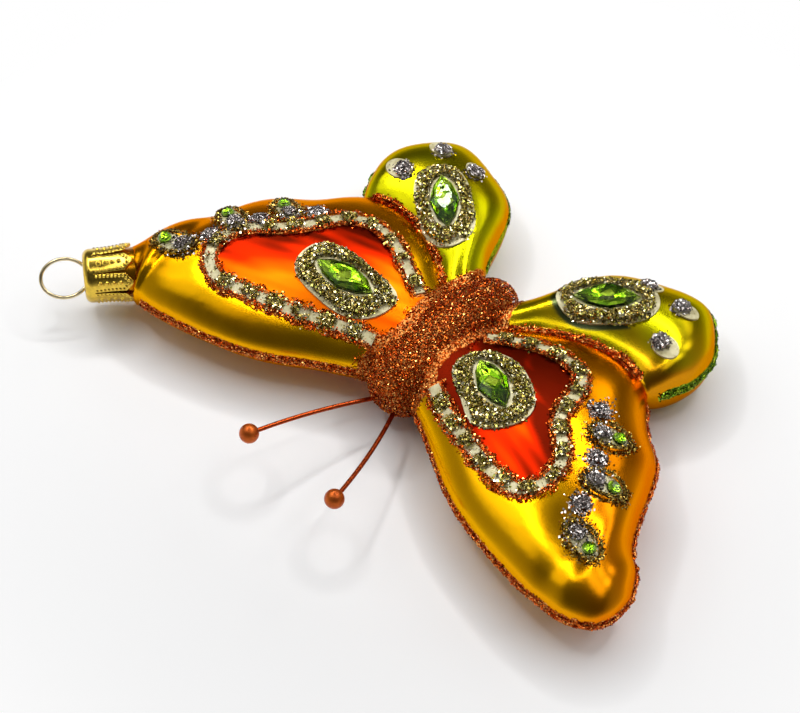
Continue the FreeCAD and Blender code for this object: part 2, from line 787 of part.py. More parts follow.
def add_crown_cap():
    body = doc.addObject("PartDesign::Body", "crown_cap")
    body.Label = "crown_cap"
    disc = new_sketch(body, "cap_disc", "XY_Plane")
    disc.addGeometry(Part.Circle(Vector(0, 0, 0), Vector(0, 0, 1), size("neck_radius")), False)
    disc.addConstraint(Sketcher.Constraint("Coincident", 0, 3, -1, 1))
    bind(disc, "Radius", (0,), CAP_RADIUS)
    drum = body.newObject("PartDesign::Pad", "cap_drum")
    drum.Profile = disc
    drum.setExpression("Length", "Sizes.cap_length")
    doc.recompute()
    shoulder = body.newObject("PartDesign::Fillet", "cap_shoulder")
    shoulder.Base = (drum, [top_rim(drum.Shape)])
    shoulder.setExpression("Radius", "Sizes.cap_shoulder")
    doc.recompute()
    hollow = body.newObject("PartDesign::Thickness", "cap_hollow")
    hollow.Base = (shoulder, [lowest_face(shoulder.Shape)])
    hollow.setExpression("Value", "Sizes.cap_wall")
    hollow.Reversed = True
    hollow.Join = 0
    doc.recompute()
    right = slit_corners()
    left = [(-x, y, x_formula, y_formula) for x, y, x_formula, y_formula in reversed(right)]
    outline = polygon_sketch(body, "cap_slit_outline", "XZ_Plane", right + left)
    slit = body.newObject("PartDesign::Pocket", "cap_slit")
    slit.Profile = outline
    slit.setExpression("Length", CAP_RADIUS + " + Sizes.overrun")
    doc.recompute()
    slits = body.newObject("PartDesign::PolarPattern", "cap_slits")
    slits.Originals = [slit]
    slits.Axis = ([line for line in body.Origin.OriginFeatures if line.Role == "Z_Axis"][0], [""])
    slits.setExpression("Occurrences", "Sizes.cap_tab_count")
    body.Tip = slits
    holes = new_sketch(body, "cap_wire_holes", "XY_Plane")
    for index, side in enumerate((1, -1)):
        centre = Vector(side * leg_offset(), 0, 0)
        holes.addGeometry(Part.Circle(centre, Vector(0, 0, 1), size("hanger_wire")), False)
        holes.addConstraint(Sketcher.Constraint("PointOnObject", index, 3, -1))
        bind(holes, "Radius", (index,), "Sizes.hanger_wire + Sizes.hanger_hole_clearance")
        ends = (-1, 1, index, 3) if side == 1 else (index, 3, -1, 1)
        bind(holes, "DistanceX", ends, LEG_OFFSET)
    bores = body.newObject("PartDesign::Pocket", "cap_wire_bores")
    bores.Profile = holes
    bores.Reversed = True
    bores.setExpression("Length", "Sizes.cap_length + Sizes.overrun")
    body.Tip = bores
    body.Placement = neck_placement(cap_start())
    nodes.append(body)


def wire_arc(name, radius, centre, start, sweep):
    """Arc of the hanger's wire in the XZ plane, from a start angle through a sweep, counterclockwise."""
    upright = Rotation(Vector(1, 0, 0), 90)
    placement = Placement(centre, Rotation(Vector(0, -1, 0), start).multiply(upright))
    return add_primitive("Part::Torus", name, {
        "Radius1": radius,
        "Radius2": "Sizes.hanger_wire",
        "Angle3": sweep,
    }, placement)


def wire_run(name, length, start, rotation):
    """Straight run of the hanger's wire from a start point, along the rotated +Z."""
    return add_primitive("Part::Cylinder", name, {
        "Radius": "Sizes.hanger_wire",
        "Height": length,
    }, Placement(start, rotation))


def add_hanger():
    """Ring, two elbows, and two legs that pass through the cap and spread inside the neck."""
    gap = size("ring_gap_angle")
    flare = size("flare_angle")
    reach = size("ring_radius") + size("ring_elbow")
    middle = size("cap_length") + size("ring_standoff")
    elbow_height = middle - reach * math.cos(math.radians(gap))
    leg_end = elbow_height - size("leg_straight")
    pieces = [wire_arc("hanger_ring", "Sizes.ring_radius", Vector(0, 0, middle), gap - 90,
                       "360 - 2 * Sizes.ring_gap_angle")]
    for side, name in ((1, "right"), (-1, "left")):
        elbow = Vector(side * reach * math.sin(math.radians(gap)), 0, elbow_height)
        pieces.append(wire_arc("hanger_elbow_" + name, "Sizes.ring_elbow", elbow, 90 + gap if side == 1 else 0,
                               "90 - Sizes.ring_gap_angle"))
        foot = Vector(side * leg_offset(), 0, leg_end)
        pieces.append(wire_run("hanger_leg_" + name, "Sizes.leg_straight", foot, Rotation()))
        bend = size("flare_elbow")
        centre = foot + Vector(side * bend, 0, 0)
        pieces.append(wire_arc("hanger_bend_" + name, "Sizes.flare_elbow", centre, 180 if side == 1 else -flare,
                               "Sizes.flare_angle"))
        angle = math.radians(flare)
        knee = centre + Vector(-side * bend * math.cos(angle), 0, -bend * math.sin(angle))
        outward = Rotation(Vector(0, 1, 0), 180 - side * flare)
        pieces.append(wire_run("hanger_spread_" + name, "Sizes.flare_length", knee, outward))
    hanger = doc.addObject("Part::MultiFuse", "hanger_loop")
    hanger.Label = "hanger_loop"
    hanger.Shapes = pieces
    hanger.Placement = neck_placement(cap_start())
    nodes.append(hanger)


# Stones

def add_navette(place):
    body = add_gem("navette_" + place, NAVETTE_PLAN_SHARES, ("navette_length", 0.5), ("navette_width", 0.5),
                   "navette_girdle", "navette_crown")
    centre = stone_centre(place)
    body.Placement = tangent_placement(form_of(place), centre.x, centre.y, over_enamel(), NAVETTE_PLACES[place][1])


def add_chaton(name, side, place):
    """Small round stone: a straight girdle and a cone up to its table."""
    girdle = add_primitive("Part::Cylinder", name + "_girdle", {
        "Radius": "Sizes.chaton_radius",
        "Height": "Sizes.chaton_girdle",
    })
    crown = add_primitive("Part::Cone", name + "_crown", {
        "Radius1": "Sizes.chaton_radius",
        "Radius2": "Sizes.chaton_radius * %.2f" % TABLE_SHARE,
        "Height": "Sizes.chaton_crown",
    }, Placement(Vector(0, 0, size("chaton_girdle")), Rotation()))
    stone = doc.addObject("Part::Fuse", name)
    stone.Label = name
    stone.Base = girdle
    stone.Tool = crown
    centre = flat(mirrored(place, side))
    lift = over_enamel() + size("chaton_lift")
    stone.Placement = tangent_placement("fore", centre.x, centre.y, lift, 0.0)
    nodes.append(stone)


# Coats of enamel and glitter

def add_band(side, name):
    """One wing's enamel band, the glitter on its two edges and the clumps across it."""
    points = points_along(smooth_curve([flat(share) for share in BAND_SHARES[name]]))
    half = size("band_width") / 2
    edge = half + size("coat_gap")
    rim = edge + size("band_edge_width")
    taken = [pad_face("fore_" + name, 1 + PAD_MARGIN_SHARE)] + fore_spot_ground(side)
    strips = [
        ("band_enamel_", -half, half, enamel_levels()),
        ("band_copper_inner_", side * edge, side * rim, glitter_levels()),
        ("band_copper_outer_", -side * edge, -side * rim, glitter_levels()),
    ]
    for start, near, far, levels in strips:
        faces = cleared([strip_face(points, near, far)], taken)
        add_node(start + name, laid_on("fore", faces, *levels))
    curve = smooth_curve(points)
    length = curve.length()
    count = int(length / size("clump_spacing"))
    clumps = []
    for index in range(count):
        start = (index + CLUMP_LEAD_SHARE) * size("clump_spacing") / length
        stretch = points_along(curve, start, start + size("clump_length") / length, SECTION_STEPS)
        clumps.append(strip_face(stretch, -half, half))
    add_node("band_gold_clumps_" + name, laid_on("fore", cleared(clumps, taken), *raised_glitter_levels()))


def add_pad(place):
    """Enamel under a navette and the glitter ring round the stone."""
    form = form_of(place)
    side = 1 if place.endswith("right") else -1
    spared = [] if form == "fore" else [skin("fore", size("bond_gap"))]
    taken = [] if form == "fore" else hind_spot_ground(side)
    pad = cleared([pad_face(place)], taken)
    add_node("stone_pad_" + place, laid_on(form, pad, *enamel_levels(), spared))
    clear = size("stone_clearance")
    hole = ellipse_face(stone_centre(place), size("navette_length") / 2 + clear,
                        size("navette_width") / 2 + clear, NAVETTE_PLACES[place][1])
    ring = cleared([pad_face(place, PAD_GLITTER_SHARE)], taken + [hole])
    add_node("stone_glitter_" + place, laid_on(form, ring, *raised_glitter_levels(), spared))


def add_groove(side, name):
    """Glitter line in the crease where the forewing overlaps the hindwing."""
    points = [flat(mirrored(share, side), "half_span", "fore_back") for share in GROOVE_SHARES]
    half = size("groove_width") / 2
    line = strip_face(points_along(smooth_curve(points)), -half, half)
    line = cleared([line], [pad_face("hind_" + name, 1 + PAD_MARGIN_SHARE)])
    add_node("groove_glitter_" + name,
             laid_on("fore", line, *glitter_levels(), [skin("hind_" + name, size("bond_gap"))]))


def add_seams(side, name):
    """Glitter along the mould seam of one forewing and one hindwing."""
    span = side * size("half_span")
    start = SEAM_START_SHARE * span
    junction = SEAM_JUNCTION_SHARE * span
    beyond = 2 * span
    if name == "right":
        copper = seam_belt("fore", [(True, start, beyond), (False, beyond, junction)])
    else:
        lead = seam_belt("fore", [(True, start, CAPPED_SEAM_LEAD_SHARE * span)])
        trail = seam_belt("fore", [(False, CAPPED_SEAM_TRAIL_SHARE * span, junction)])
        copper = Part.Compound([lead, trail])
    add_node("seam_copper_" + name, copper)
    reach = side * size("hind_reach")
    front, back = HIND_SEAM_SHARES
    green = seam_belt("hind_" + name, [(True, front * reach, 2 * reach), (False, 2 * reach, back * reach)])
    add_node("seam_green_" + name, green)


def add_body_glitter():
    low, high = size("bond_gap"), size("body_coat")
    coat = body_loft(high).cut(body_loft(low))
    for form in ("fore", "hind_right", "hind_left"):
        coat = coat.cut(skin(form, low))
    for side in (1, -1):
        coat = coat.cut(antenna_hole(side))
    add_node("body_glitter", coat)


def fore_spots(side):
    """Patch centre, half length and heading under each round stone and its silver clump."""
    spots = []
    for stone_share, silver_share in CHATON_SHARES:
        stone = flat(mirrored(stone_share, side))
        silver = flat(mirrored(silver_share, side))
        run = stone - silver
        heading = math.degrees(math.atan2(run.y, run.x))
        spots.append((midpoint(silver, stone), run.Length / 2 + size("spot_patch"), heading))
    return spots


def fore_spot_ground(side):
    """Plan faces that a forewing's patches, their rims and its silver dots take up, with a gap round them."""
    gap = size("coat_gap")
    wide = 2 * gap + size("spot_ring_width")
    ground = [ellipse_face(centre, half + wide, size("spot_patch") + wide, heading)
              for centre, half, heading in fore_spots(side)]
    ground += [round_face(flat(mirrored(share, side)), size("silver_fore_dot") + gap)
               for share in LOOSE_SILVER_SHARES]
    return ground


def hind_patch(side, spot, gap=0.0):
    """Plan face of the cream patch beside a hindwing's silver dot."""
    share, heading, patch_share = spot
    turned = heading if side == 1 else 180 - heading
    outward = Rotation(Vector(0, 0, 1), turned).multVec(Vector(size("hind_patch_shift"), 0, 0))
    centre = flat(mirrored(share, side), "hind_reach", "hind_back")
    return ellipse_face(centre + outward * patch_share, size("hind_patch_length") * patch_share + gap,
                        size("hind_patch_width") * patch_share + gap, turned)


def hind_dot(side, spot, gap=0.0):
    return round_face(flat(mirrored(spot[0], side), "hind_reach", "hind_back"), size("silver_dot") + gap)


def hind_spot_ground(side):
    """Plan faces that a hindwing's patches and silver dots take up, with a gap round them."""
    gap = size("coat_gap")
    return [shape(side, spot, gap) for spot in HIND_SPOTS for shape in (hind_patch, hind_dot)]


def add_fore_spots(side, name):
    """Enamel patches, their glitter rims and the silver dots on one forewing; returns the patches."""
    wide = size("spot_patch")
    rim = size("spot_ring_width")
    gap = size("coat_gap")
    patches = [ellipse_face(centre, half, wide, heading) for centre, half, heading in fore_spots(side)]
    rims = []
    for centre, half, heading in fore_spots(side):
        outside = ellipse_face(centre, half + gap + rim, wide + gap + rim, heading)
        rims += outside.cut(ellipse_face(centre, half + gap, wide + gap, heading)).Faces
    add_node("spot_rings_" + name, laid_on("fore", rims, *glitter_levels()))
    radius = size("silver_fore_dot")
    clumps = [round_face(flat(mirrored(silver, side)), radius) for _, silver in CHATON_SHARES]
    loose = [round_face(flat(mirrored(share, side)), radius) for share in LOOSE_SILVER_SHARES]
    on_enamel = laid_on("fore", clumps, *raised_glitter_levels())
    on_glass = laid_on("fore", loose, *glitter_levels())
    add_node("silver_dots_fore_" + name, Part.Compound(on_enamel.Solids + on_glass.Solids))
    return laid_on("fore", patches, *enamel_levels())


def add_spots(side, name):
    """All enamel patches of one side, and the silver dots of its hindwing."""
    patches = [hind_patch(side, spot) for spot in HIND_SPOTS]
    dots = [hind_dot(side, spot) for spot in HIND_SPOTS]
    form = "hind_" + name
    add_node("silver_dots_hind_" + name, laid_on(form, dots, *raised_glitter_levels()))
    hind = laid_on(form, patches, *enamel_levels())
    fore = add_fore_spots(side, name)
    add_node("spot_enamel_" + name, Part.Compound(hind.Solids + fore.Solids))


SIDES = ((1, "right"), (-1, "left"))
add_blown_glass()
add_neck()
add_crown_cap()
add_hanger()
add_body_glitter()
for side, name in SIDES:
    add_antenna(side, name)
    add_antenna_bead(side, name)
    add_band(side, name)
    add_groove(side, name)
    add_seams(side, name)
    add_spots(side, name)
    for number, (stone, _) in enumerate(CHATON_SHARES, start=1):
        add_chaton("chaton_%s_%d" % (name, number), side, stone)
    for wing in ("fore_", "hind_"):
        add_pad(wing + name)
        add_navette(wing + name)
doc.recompute()


# The part's origin is the middle of its box's underside

def place_at_origin():
    """Moves every node alike, so that the whole stands on z = 0 about the origin."""
    whole = FreeCAD.BoundBox()
    for node in nodes:
        for point in node.Shape.tessellate(size("bond_gap"))[0]:
            whole.add(point)
    shift = Placement(Vector(-whole.Center.x, -whole.Center.y, -whole.ZMin), Rotation())
    for node in nodes:
        node.Placement = shift.multiply(node.Placement)
    doc.recompute()
    print("shift", shift.Base, "box", whole.XLength, whole.YLength, whole.ZLength)


place_at_origin()

faults = []
for item in doc.Objects:
    if "Invalid" in item.State or "Error" in item.State:
        faults.append("%s is in state %s" % (item.Name, item.State))
for node in nodes:
    if node.Shape.isNull() or not node.Shape.isValid() or not node.Shape.Solids:
        faults.append("%s has no valid solid" % node.Label)
if faults:
    raise RuntimeError("; ".join(faults))

os.makedirs("parts", exist_ok=True)
for node in nodes:
    node.Shape.exportStep("parts/%s.step" % node.Label)
print(len(nodes), "nodes written")
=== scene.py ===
import math

import bmesh
import bpy
import numpy as np
from mathutils import Matrix, Vector, noise
from mathutils.bvhtree import BVHTree


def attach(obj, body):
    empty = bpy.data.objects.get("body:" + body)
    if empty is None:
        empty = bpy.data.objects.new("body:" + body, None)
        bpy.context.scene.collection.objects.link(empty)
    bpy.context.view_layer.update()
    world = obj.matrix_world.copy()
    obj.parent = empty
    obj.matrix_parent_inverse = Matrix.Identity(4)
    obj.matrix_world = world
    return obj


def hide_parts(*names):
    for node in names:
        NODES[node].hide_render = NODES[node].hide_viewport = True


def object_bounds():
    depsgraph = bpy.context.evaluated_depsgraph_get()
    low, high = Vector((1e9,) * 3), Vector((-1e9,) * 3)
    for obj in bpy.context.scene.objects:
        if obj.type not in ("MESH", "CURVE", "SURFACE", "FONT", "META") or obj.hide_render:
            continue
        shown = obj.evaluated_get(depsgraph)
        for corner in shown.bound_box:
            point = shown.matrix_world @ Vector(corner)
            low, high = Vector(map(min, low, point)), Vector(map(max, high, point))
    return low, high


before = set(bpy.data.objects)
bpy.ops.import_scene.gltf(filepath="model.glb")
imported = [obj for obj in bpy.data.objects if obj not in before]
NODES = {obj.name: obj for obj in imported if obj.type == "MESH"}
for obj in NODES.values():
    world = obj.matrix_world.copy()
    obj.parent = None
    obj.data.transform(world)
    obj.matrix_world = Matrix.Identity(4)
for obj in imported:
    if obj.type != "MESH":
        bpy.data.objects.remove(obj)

MM = 0.001
CAD_BOX = [list(corner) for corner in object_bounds()]
RANDOM = np.random.default_rng(9)

# Where the wing frame (right wing +X, head -Y, seam at z 0) sits in the part's own frame, in mm.
WING_ORIGIN = np.array([3.333, 1.572, 11.030])

# Camera: bearing, height and roll in degrees, lens, sensor, distance and shift in mm, clipping in metres.
CAMERA_BEARING = 40.88
CAMERA_HEIGHT = 50.22
CAMERA_ROLL = 2.02
CAMERA_LENS = 101.25
CAMERA_DISTANCE = 496.4
CAMERA_ASIDE = (10.24, 2.85)
CAMERA_SENSOR = 36
CAMERA_CLIP = (0.01, 20)

# Ring of lamps over the object: lean to the back in degrees, then metres and watts.
RING_LEAN = 10
RING_LAMPS = 36
RING_RADIUS = 0.205
RING_DISTANCE = 0.42
RING_LAMP_SIZE = 0.04
RING_POWER = 1.95
RING_BACK_BIAS = 0.65
# Larger lamps outside it: degrees from the picture's right towards the back, radius, size and watts.
ARC_LAMPS = [
    (-48, 0.34, 0.18, 0.11),
    (-22, 0.36, 0.13, 0.11),
    (8, 0.38, 0.13, 0.12),
    (38, 0.42, 0.13, 0.07),
    (55, 0.45, 0.15, 0.12),
    (146, 0.36, 0.16, 0.14),
    (172, 0.36, 0.18, 0.10),
    (198, 0.36, 0.24, 0.13),
]

# Floor: half its side and where it turns to plain white paper, in metres, and how far it lies below, in mm.
FLOOR_REACH = 3.0
PAPER_FADE = (0.07, 0.14)
FLOOR_DROP = 0.02

# Room around it: light at each height of the view from the object, and of the side walls and their span.
ROOM_LEVELS = [(0.0, 0.38), (0.12, 0.28), (0.25, 0.12), (0.45, 0.07), (1.0, 0.07)]
WALL_LEVEL = 0.25
WALL_SPAN = (0.55, 0.92)

# Wings, in the wing frame and in mm.
SIDES = ("left", "right")

# Middle line of the band on each forewing, closed across the body: what is inside it is red.
FIELDS = {
    "right": [(5, -14), (11.9, -17.2), (21.6, -21.6), (30.8, -24.5), (39.8, -25.4), (44.6, -21),
              (43.6, -13.6), (36.7, -6.6), (34.6, 1.6), (32.4, 6.6), (26.5, 8.4), (20.1, 7.1),
              (12.1, 3.7), (5, 1.5)],
    "left": [(-5, -14), (-17.9, -17.7), (-27.2, -21.7), (-37.5, -24.8), (-46.9, -25.9), (-50.8, -21.8),
             (-50.2, -14.8), (-43.1, -6.9), (-38.1, 0.4), (-34.6, 6.2), (-28.1, 8.8),
             (-19.1, 6.3), (-5, 1.2)],
}
# Softness of the red's edge under the band, and on the underside, where no band hides it.
FIELD_EDGE = 1.0
FIELD_EDGE_BELOW = 9.0
# Crease between forewing and hindwing, on the right; the left is its mirror.
CREASE = [(0, 6), (9, 10), (15.5, 14.8), (21.8, 17.7), (29.2, 19.9), (34.8, 19.6), (39, 18.2), (80, 18)]
CREASE_EDGE = 1.0
# Directions, as shares of x and y, in which the streaks run and in which a place lies towards the back.
STREAK_TURN = (0.94, 0.34)
AFT_TURN = (0.70, 0.71)
# Streaks: how fine they are along and across a wing, and where the noise is read.
WIDE_STREAKS = (0.05, 0.16, 3)
FINE_STREAKS = (0.07, 0.45, 11)
RIGHT_SEED = 7
# Where the tones of the lacquer turn, in mm or as the slope, and how much each cause adds.
GOLD_AFT = (16, 27)
GOLD_STEEP = (0.3, 0.8)
GOLD_SHARES = (0.75, 0.35, 0.25)
# The fields' deep red is partly the lacquer's own and partly painted shade, most on the right field.
RED_LEFT_AFT = (11, 22)
RED_LEFT_SHARE = 1.15
RED_RIGHT_AFT = (11, 20)
RED_RIGHT_START = 0.75
RED_RIGHT_SHARE = 0.6
RED_INNER_PLACE = 28
RED_INNER_SPAN = (0, 12)
RED_SHARES = (0.12, 0.75, 0.35, 0.2)
HIND_START = 0.1
HIND_STEEP = (0.25, 0.75)
HIND_FRONT = 30
HIND_FRONT_SPAN = (0, 10)
HIND_END = (34, 44)
HIND_SHARES = (0.35, 0.5, 0.4)
# Painted shade round the front of the right hindwing's pad, in mm: its edge and how far back it reaches.
PAD_SHADE_EDGE = (0.9, 1.5)
PAD_SHADE_BACK = 26

# Neck in the part's own frame: start and direction of its axis, and the hanger ring's direction across it.
NECK_START = np.array([-61.27, -30.35, 11.03])
NECK_AXIS = np.array([-0.632, -0.775, 0.0])
RING_ACROSS = np.array([-0.594, 0.484, 0.643])
# Crown cap in mm: rim and top along the neck's axis from its start, radii, tabs and their relief.
CAP_RIM = 1.356
CAP_LENGTH = 11.0
CAP_RADIUS = 6.1
CAP_SHOULDER = 1.6
CAP_HOLE = 0.02
CAP_SHEET = 0.22
CAP_TABS = 8
CAP_FLARE = 0.8
CAP_FLARE_SHARE = 0.75
CAP_START = 0.02
CAP_WELD = 0.01
SIDE_ROWS = 88
TOP_ROWS = 40
TAB_COLUMNS = 44
TIP_LENGTH = 2.0
TIP_WIDTH = 0.5
SLIT_START = 2.3
SLIT_TOP = 0.25
SLIT_RIM = 0.85
BEAD_START = 0.25
BEAD_STEP = 0.85
BEAD_INSET = 0.48
BEAD_SIZE = 0.33
BEAD_RISE = 0.24
TIP_BEAD_SHARES = (0.3, 0.65)
TIP_BEAD_START = 0.55
TIP_BEAD_END = 0.3
BOSS_COUNT = 4
BOSS_START = 0.9
BOSS_STEP = 1.5
BOSS_SIZE = 0.52
BOSS_RISE = 0.36
RELIEF_POWER = 1.5

# Plugs over the mouth and the antenna holes, and the collar at the neck's root, in mm.
PLUG_SEGMENTS = 48
PLUG_DEPTH = 0.5
PLUG_THICK = 0.8
PLUG_RADIUS = 5.3
HOLE_PLUG = 0.75
HOLE_REACH = 0.2
COLLAR_SEGMENTS = 64
COLLAR_RADIUS = 5.63
COLLAR_ENDS = (-0.5, 1.5)

# Hanger wire in the cap's frame: half lengths of its ring, and its legs (across, along from the rim).
WIRE_RADIUS = 0.43
WIRE_HOLE = 0.62
TOP_DEPTH = 0.1
RING_HALVES = (4.35, 5.3)
RING_SEAT = 0.15
RING_STEPS = 60
LEG_ACROSS = 2.65
LEG_PATH = [(3.86, 0.27), (2.71, 5.65), (LEG_ACROSS, 6.28), (LEG_ACROSS, 10.6)]

# Skin: size of its cubes and weld distance in mm, and how much and how often it is smoothed.
SKIN_VOXEL = 0.5
SKIN_WELD = 0.001
SKIN_SMOOTHING = 0.5
SKIN_PASSES = 6

# Coats, in mm: how far out a face looks, how far off the glass it lies, and how patches of flakes stray.
OUTWARD = 0.4
OUTER_GAP = 0.2
STRAY_LEVELS = (0.45, 1.3)
STRAY_GRAIN = 450
FLAKE_CORNERS = 6
FLAKE_SIZES = (0.7, 1.3)
# Flakes fall from this height, lie this high on bare glass, and never lower than the last.
DROP_HEIGHT = 3
BARE_LIFT = (0.05, 0.22)
LEAST_LIFT = 0.04
PILE_RISE = 0.2
SEAM_COVER_SHARE = 0.65
CLUMP_GRAIN = 260
CLUMP_GAPS = -0.22
BAND_EDGE = 1.3
BAND_FRAY = 1.2
BAND_GRAIN = 500
# Round every stone no flake lies within this share of its foot, up to this height.
FOOT_REACH = 1.05
FOOT_HEIGHT = 4
# Flakes strewn on the pads round the long stones.
PAD_COVER = 4.6
PAD_ASIDE = 0.35
PAD_FRAY = 1.1
PAD_GRAIN = 230
PAD_DEPTH = 0.1
PAD_RISE = 0.45
PAD_TILT = 0.8
# Flakes strewn on the glass round the body, and their brightness as a share of the coat's: painted shade,
# since these flat flakes catch more of the lamps.
SPILL_REACH = 2.5
SPILL_FRAY = 2.4
SPILL_GRAIN = 300
SPILL_ASIDE = 0.35
SPILL_DEPTH = 0.1
SPILL_RISE = 0.1
SPILL_TILT = 1.0
SPILL_SHADE_SHARE = 0.62
# Packed glitter along the seams, as shares of the coat in the CAD part.
BELT_VOXEL = 0.35
BELT_GRAIN = 700
BELT_HEIGHT_SHARE = 0.45
BELT_EDGE_SHARE = 0.15
BELT_THICK_SHARE = 0.5
BELT_FRAY_SHARE = 0.5

# Foil in the stones: facets, shares of the stone's reach and height at the rim, inside and keel.
FOIL_FACETS = 16
FOIL_RIM = (0.9, 0.62)
FOIL_INNER = (0.5, 0.3)
KEEL_SHARE = 0.42
KEEL_HEIGHT = 0.06
FOIL_PINCH = 0.12
LONG_STONE = 1.3

# Packed glitter in the lacquer: noise and distance in mm between which it ends beside each coat.
COAT_EDGE = (0.75, 0.9)
BAND_PACK_EDGE = (1.2, 1.4)
GREEN_EDGE = (0.95, 1.1)
SPILL_EDGE = (SPILL_REACH + 1.0, SPILL_REACH + 1.4)
# Roughness of the lacquer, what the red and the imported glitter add, and its ripple.
NOISE_MIDDLE = (0.3, 0.7)
SATIN = (0.21, 0.25)
FIELD_SATIN = 0.16
PACKED_SATIN = 0.25
RIPPLE = 0.25
# Metal: brighter and darker patches as shares of its colour, and what wear adds to the roughness.
WORN_LIGHT = 1.12
WORN_DARK = 0.82
WORN_ROUGH = 0.08

# Colours of the lacquer along each tone, and of the painted shade round the right hindwing's pad.
GOLD_LACQUER = [(0.0, (0.86, 0.43, 0.002)), (0.5, (0.80, 0.31, 0.002)), (1.0, (0.74, 0.185, 0.002))]
RED_LACQUER = [
    (0.0, (0.90, 0.19, 0.002)),
    (0.35, (0.85, 0.085, 0.001)),
    (0.65, (0.66, 0.018, 0.001)),
    (1.0, (0.10, 0.005, 0.001)),
]
HIND_LACQUER = [(0.0, (0.50, 0.48, 0.003)), (0.5, (0.55, 0.40, 0.004)), (1.0, (0.60, 0.24, 0.005))]
PAD_SHADE_COLOUR = (0.07, 0.085, 0.03, 1)
# Colours of the glitter, from which every flake takes one.
COPPER = [(0.88, 0.19, 0.02), (0.50, 0.075, 0.008), (1.0, 0.46, 0.12), (0.28, 0.035, 0.005),
          (0.74, 0.13, 0.012)]
GOLD = [(0.82, 0.72, 0.32), (0.44, 0.35, 0.09), (1.0, 0.95, 0.68), (0.24, 0.18, 0.04), (0.64, 0.64, 0.14),
        (0.88, 0.70, 0.34), (0.34, 0.27, 0.07)]
GREEN = [(0.20, 0.42, 0.02), (0.08, 0.18, 0.012), (0.42, 0.60, 0.04), (0.30, 0.32, 0.02)]
BRONZE = [(0.38, 0.24, 0.04), (0.18, 0.10, 0.02), (0.55, 0.38, 0.09), (0.26, 0.20, 0.04)]
SILVER = [(0.72, 0.66, 0.63), (0.38, 0.33, 0.31), (1.0, 0.97, 0.95), (0.54, 0.48, 0.46), (0.21, 0.19, 0.18)]


def bearing_vector(bearing, height):
    """Direction from the object towards a bearing and a height above the floor, in degrees."""
    turn = math.radians(bearing)
    lift = math.radians(height)
    return Vector((math.sin(turn) * math.cos(lift), -math.cos(turn) * math.cos(lift), math.sin(lift)))


# Node graph helpers

class Shade:
    """One material's node graph around a single Principled shader."""

    def __init__(self, name):
        self.material = bpy.data.materials.new(name)
        self.material.use_nodes = True
        self.tree = self.material.node_tree
        self.shader = self.tree.nodes["Principled BSDF"]

    def node(self, kind, **settings):
        made = self.tree.nodes.new("ShaderNode" + kind)
        for key, value in settings.items():
            setattr(made, key, value)
        return made

    def feed(self, socket, value):
        if isinstance(value, bpy.types.NodeSocket):
            self.tree.links.new(value, socket)
        else:
            socket.default_value = value

    def set(self, **values):
        for key, value in values.items():
            self.feed(self.shader.inputs[key.replace("_", " ")], value)
        return self

    def place(self):
        return self.node("TexCoord").outputs["Object"]

    def attribute(self, name):
        return self.node("Attribute", attribute_name=name).outputs["Fac"]

    def noise(self, scale, detail):
        made = self.node("TexNoise")
        self.feed(made.inputs["Vector"], self.place())
        self.feed(made.inputs["Scale"], scale)
        self.feed(made.inputs["Detail"], detail)
        return made.outputs["Fac"]

    def cells(self, scale):
        made = self.node("TexVoronoi")
        self.feed(made.inputs["Vector"], self.place())
        self.feed(made.inputs["Scale"], scale)
        return made.outputs["Color"]

    def per_flake(self):
        return self.node("NewGeometry").outputs["Random Per Island"]

    def ramp(self, value, stops, step=False):
        made = self.node("ValToRGB")
        self.feed(made.inputs["Fac"], value)
        made.color_ramp.interpolation = "CONSTANT" if step else "LINEAR"
        band = made.color_ramp.elements
        while len(band) < len(stops):
            band.new(0.5)
        for element, (position, colour) in zip(band, stops):
            element.position = position
            element.color = (*colour, 1)
        return made.outputs["Color"]

    def spread(self, value, low, high, to_low, to_high):
        made = self.node("MapRange")
        for socket, number in zip(made.inputs, (value, low, high, to_low, to_high)):
            self.feed(socket, number)
        return made.outputs["Result"]

    def sums(self, kind, first, second):
        made = self.node("Math", operation=kind)
        self.feed(made.inputs[0], first)
        self.feed(made.inputs[1], second)
        return made.outputs["Value"]

    def near(self, gap, ragged, edge):
        """1 within a ragged distance of a coat, 0 beyond it."""
        return self.spread(self.sums("ADD", self.attribute(gap), ragged), *edge, 1.0, 0.0)

    def mix(self, share, first, second):
        made = self.node("Mix", data_type="RGBA")
        colours = [socket for socket in made.inputs if socket.type == "RGBA"]
        self.feed(made.inputs[0], share)
        self.feed(colours[0], first)
        self.feed(colours[1], second)
        return next(socket for socket in made.outputs if socket.type == "RGBA")

    def bump(self, height, strength, depth):
        made = self.node("Bump")
        self.feed(made.inputs["Height"], height)
        self.feed(made.inputs["Strength"], strength)
        self.feed(made.inputs["Distance"], depth * MM)
        return self.set(Normal=made.outputs["Normal"])


# Materials

def even_stops(colours):
    """Stops of a stepped ramp that gives every colour the same share."""
    return [(index / len(colours), colour) for index, colour in enumerate(colours)]


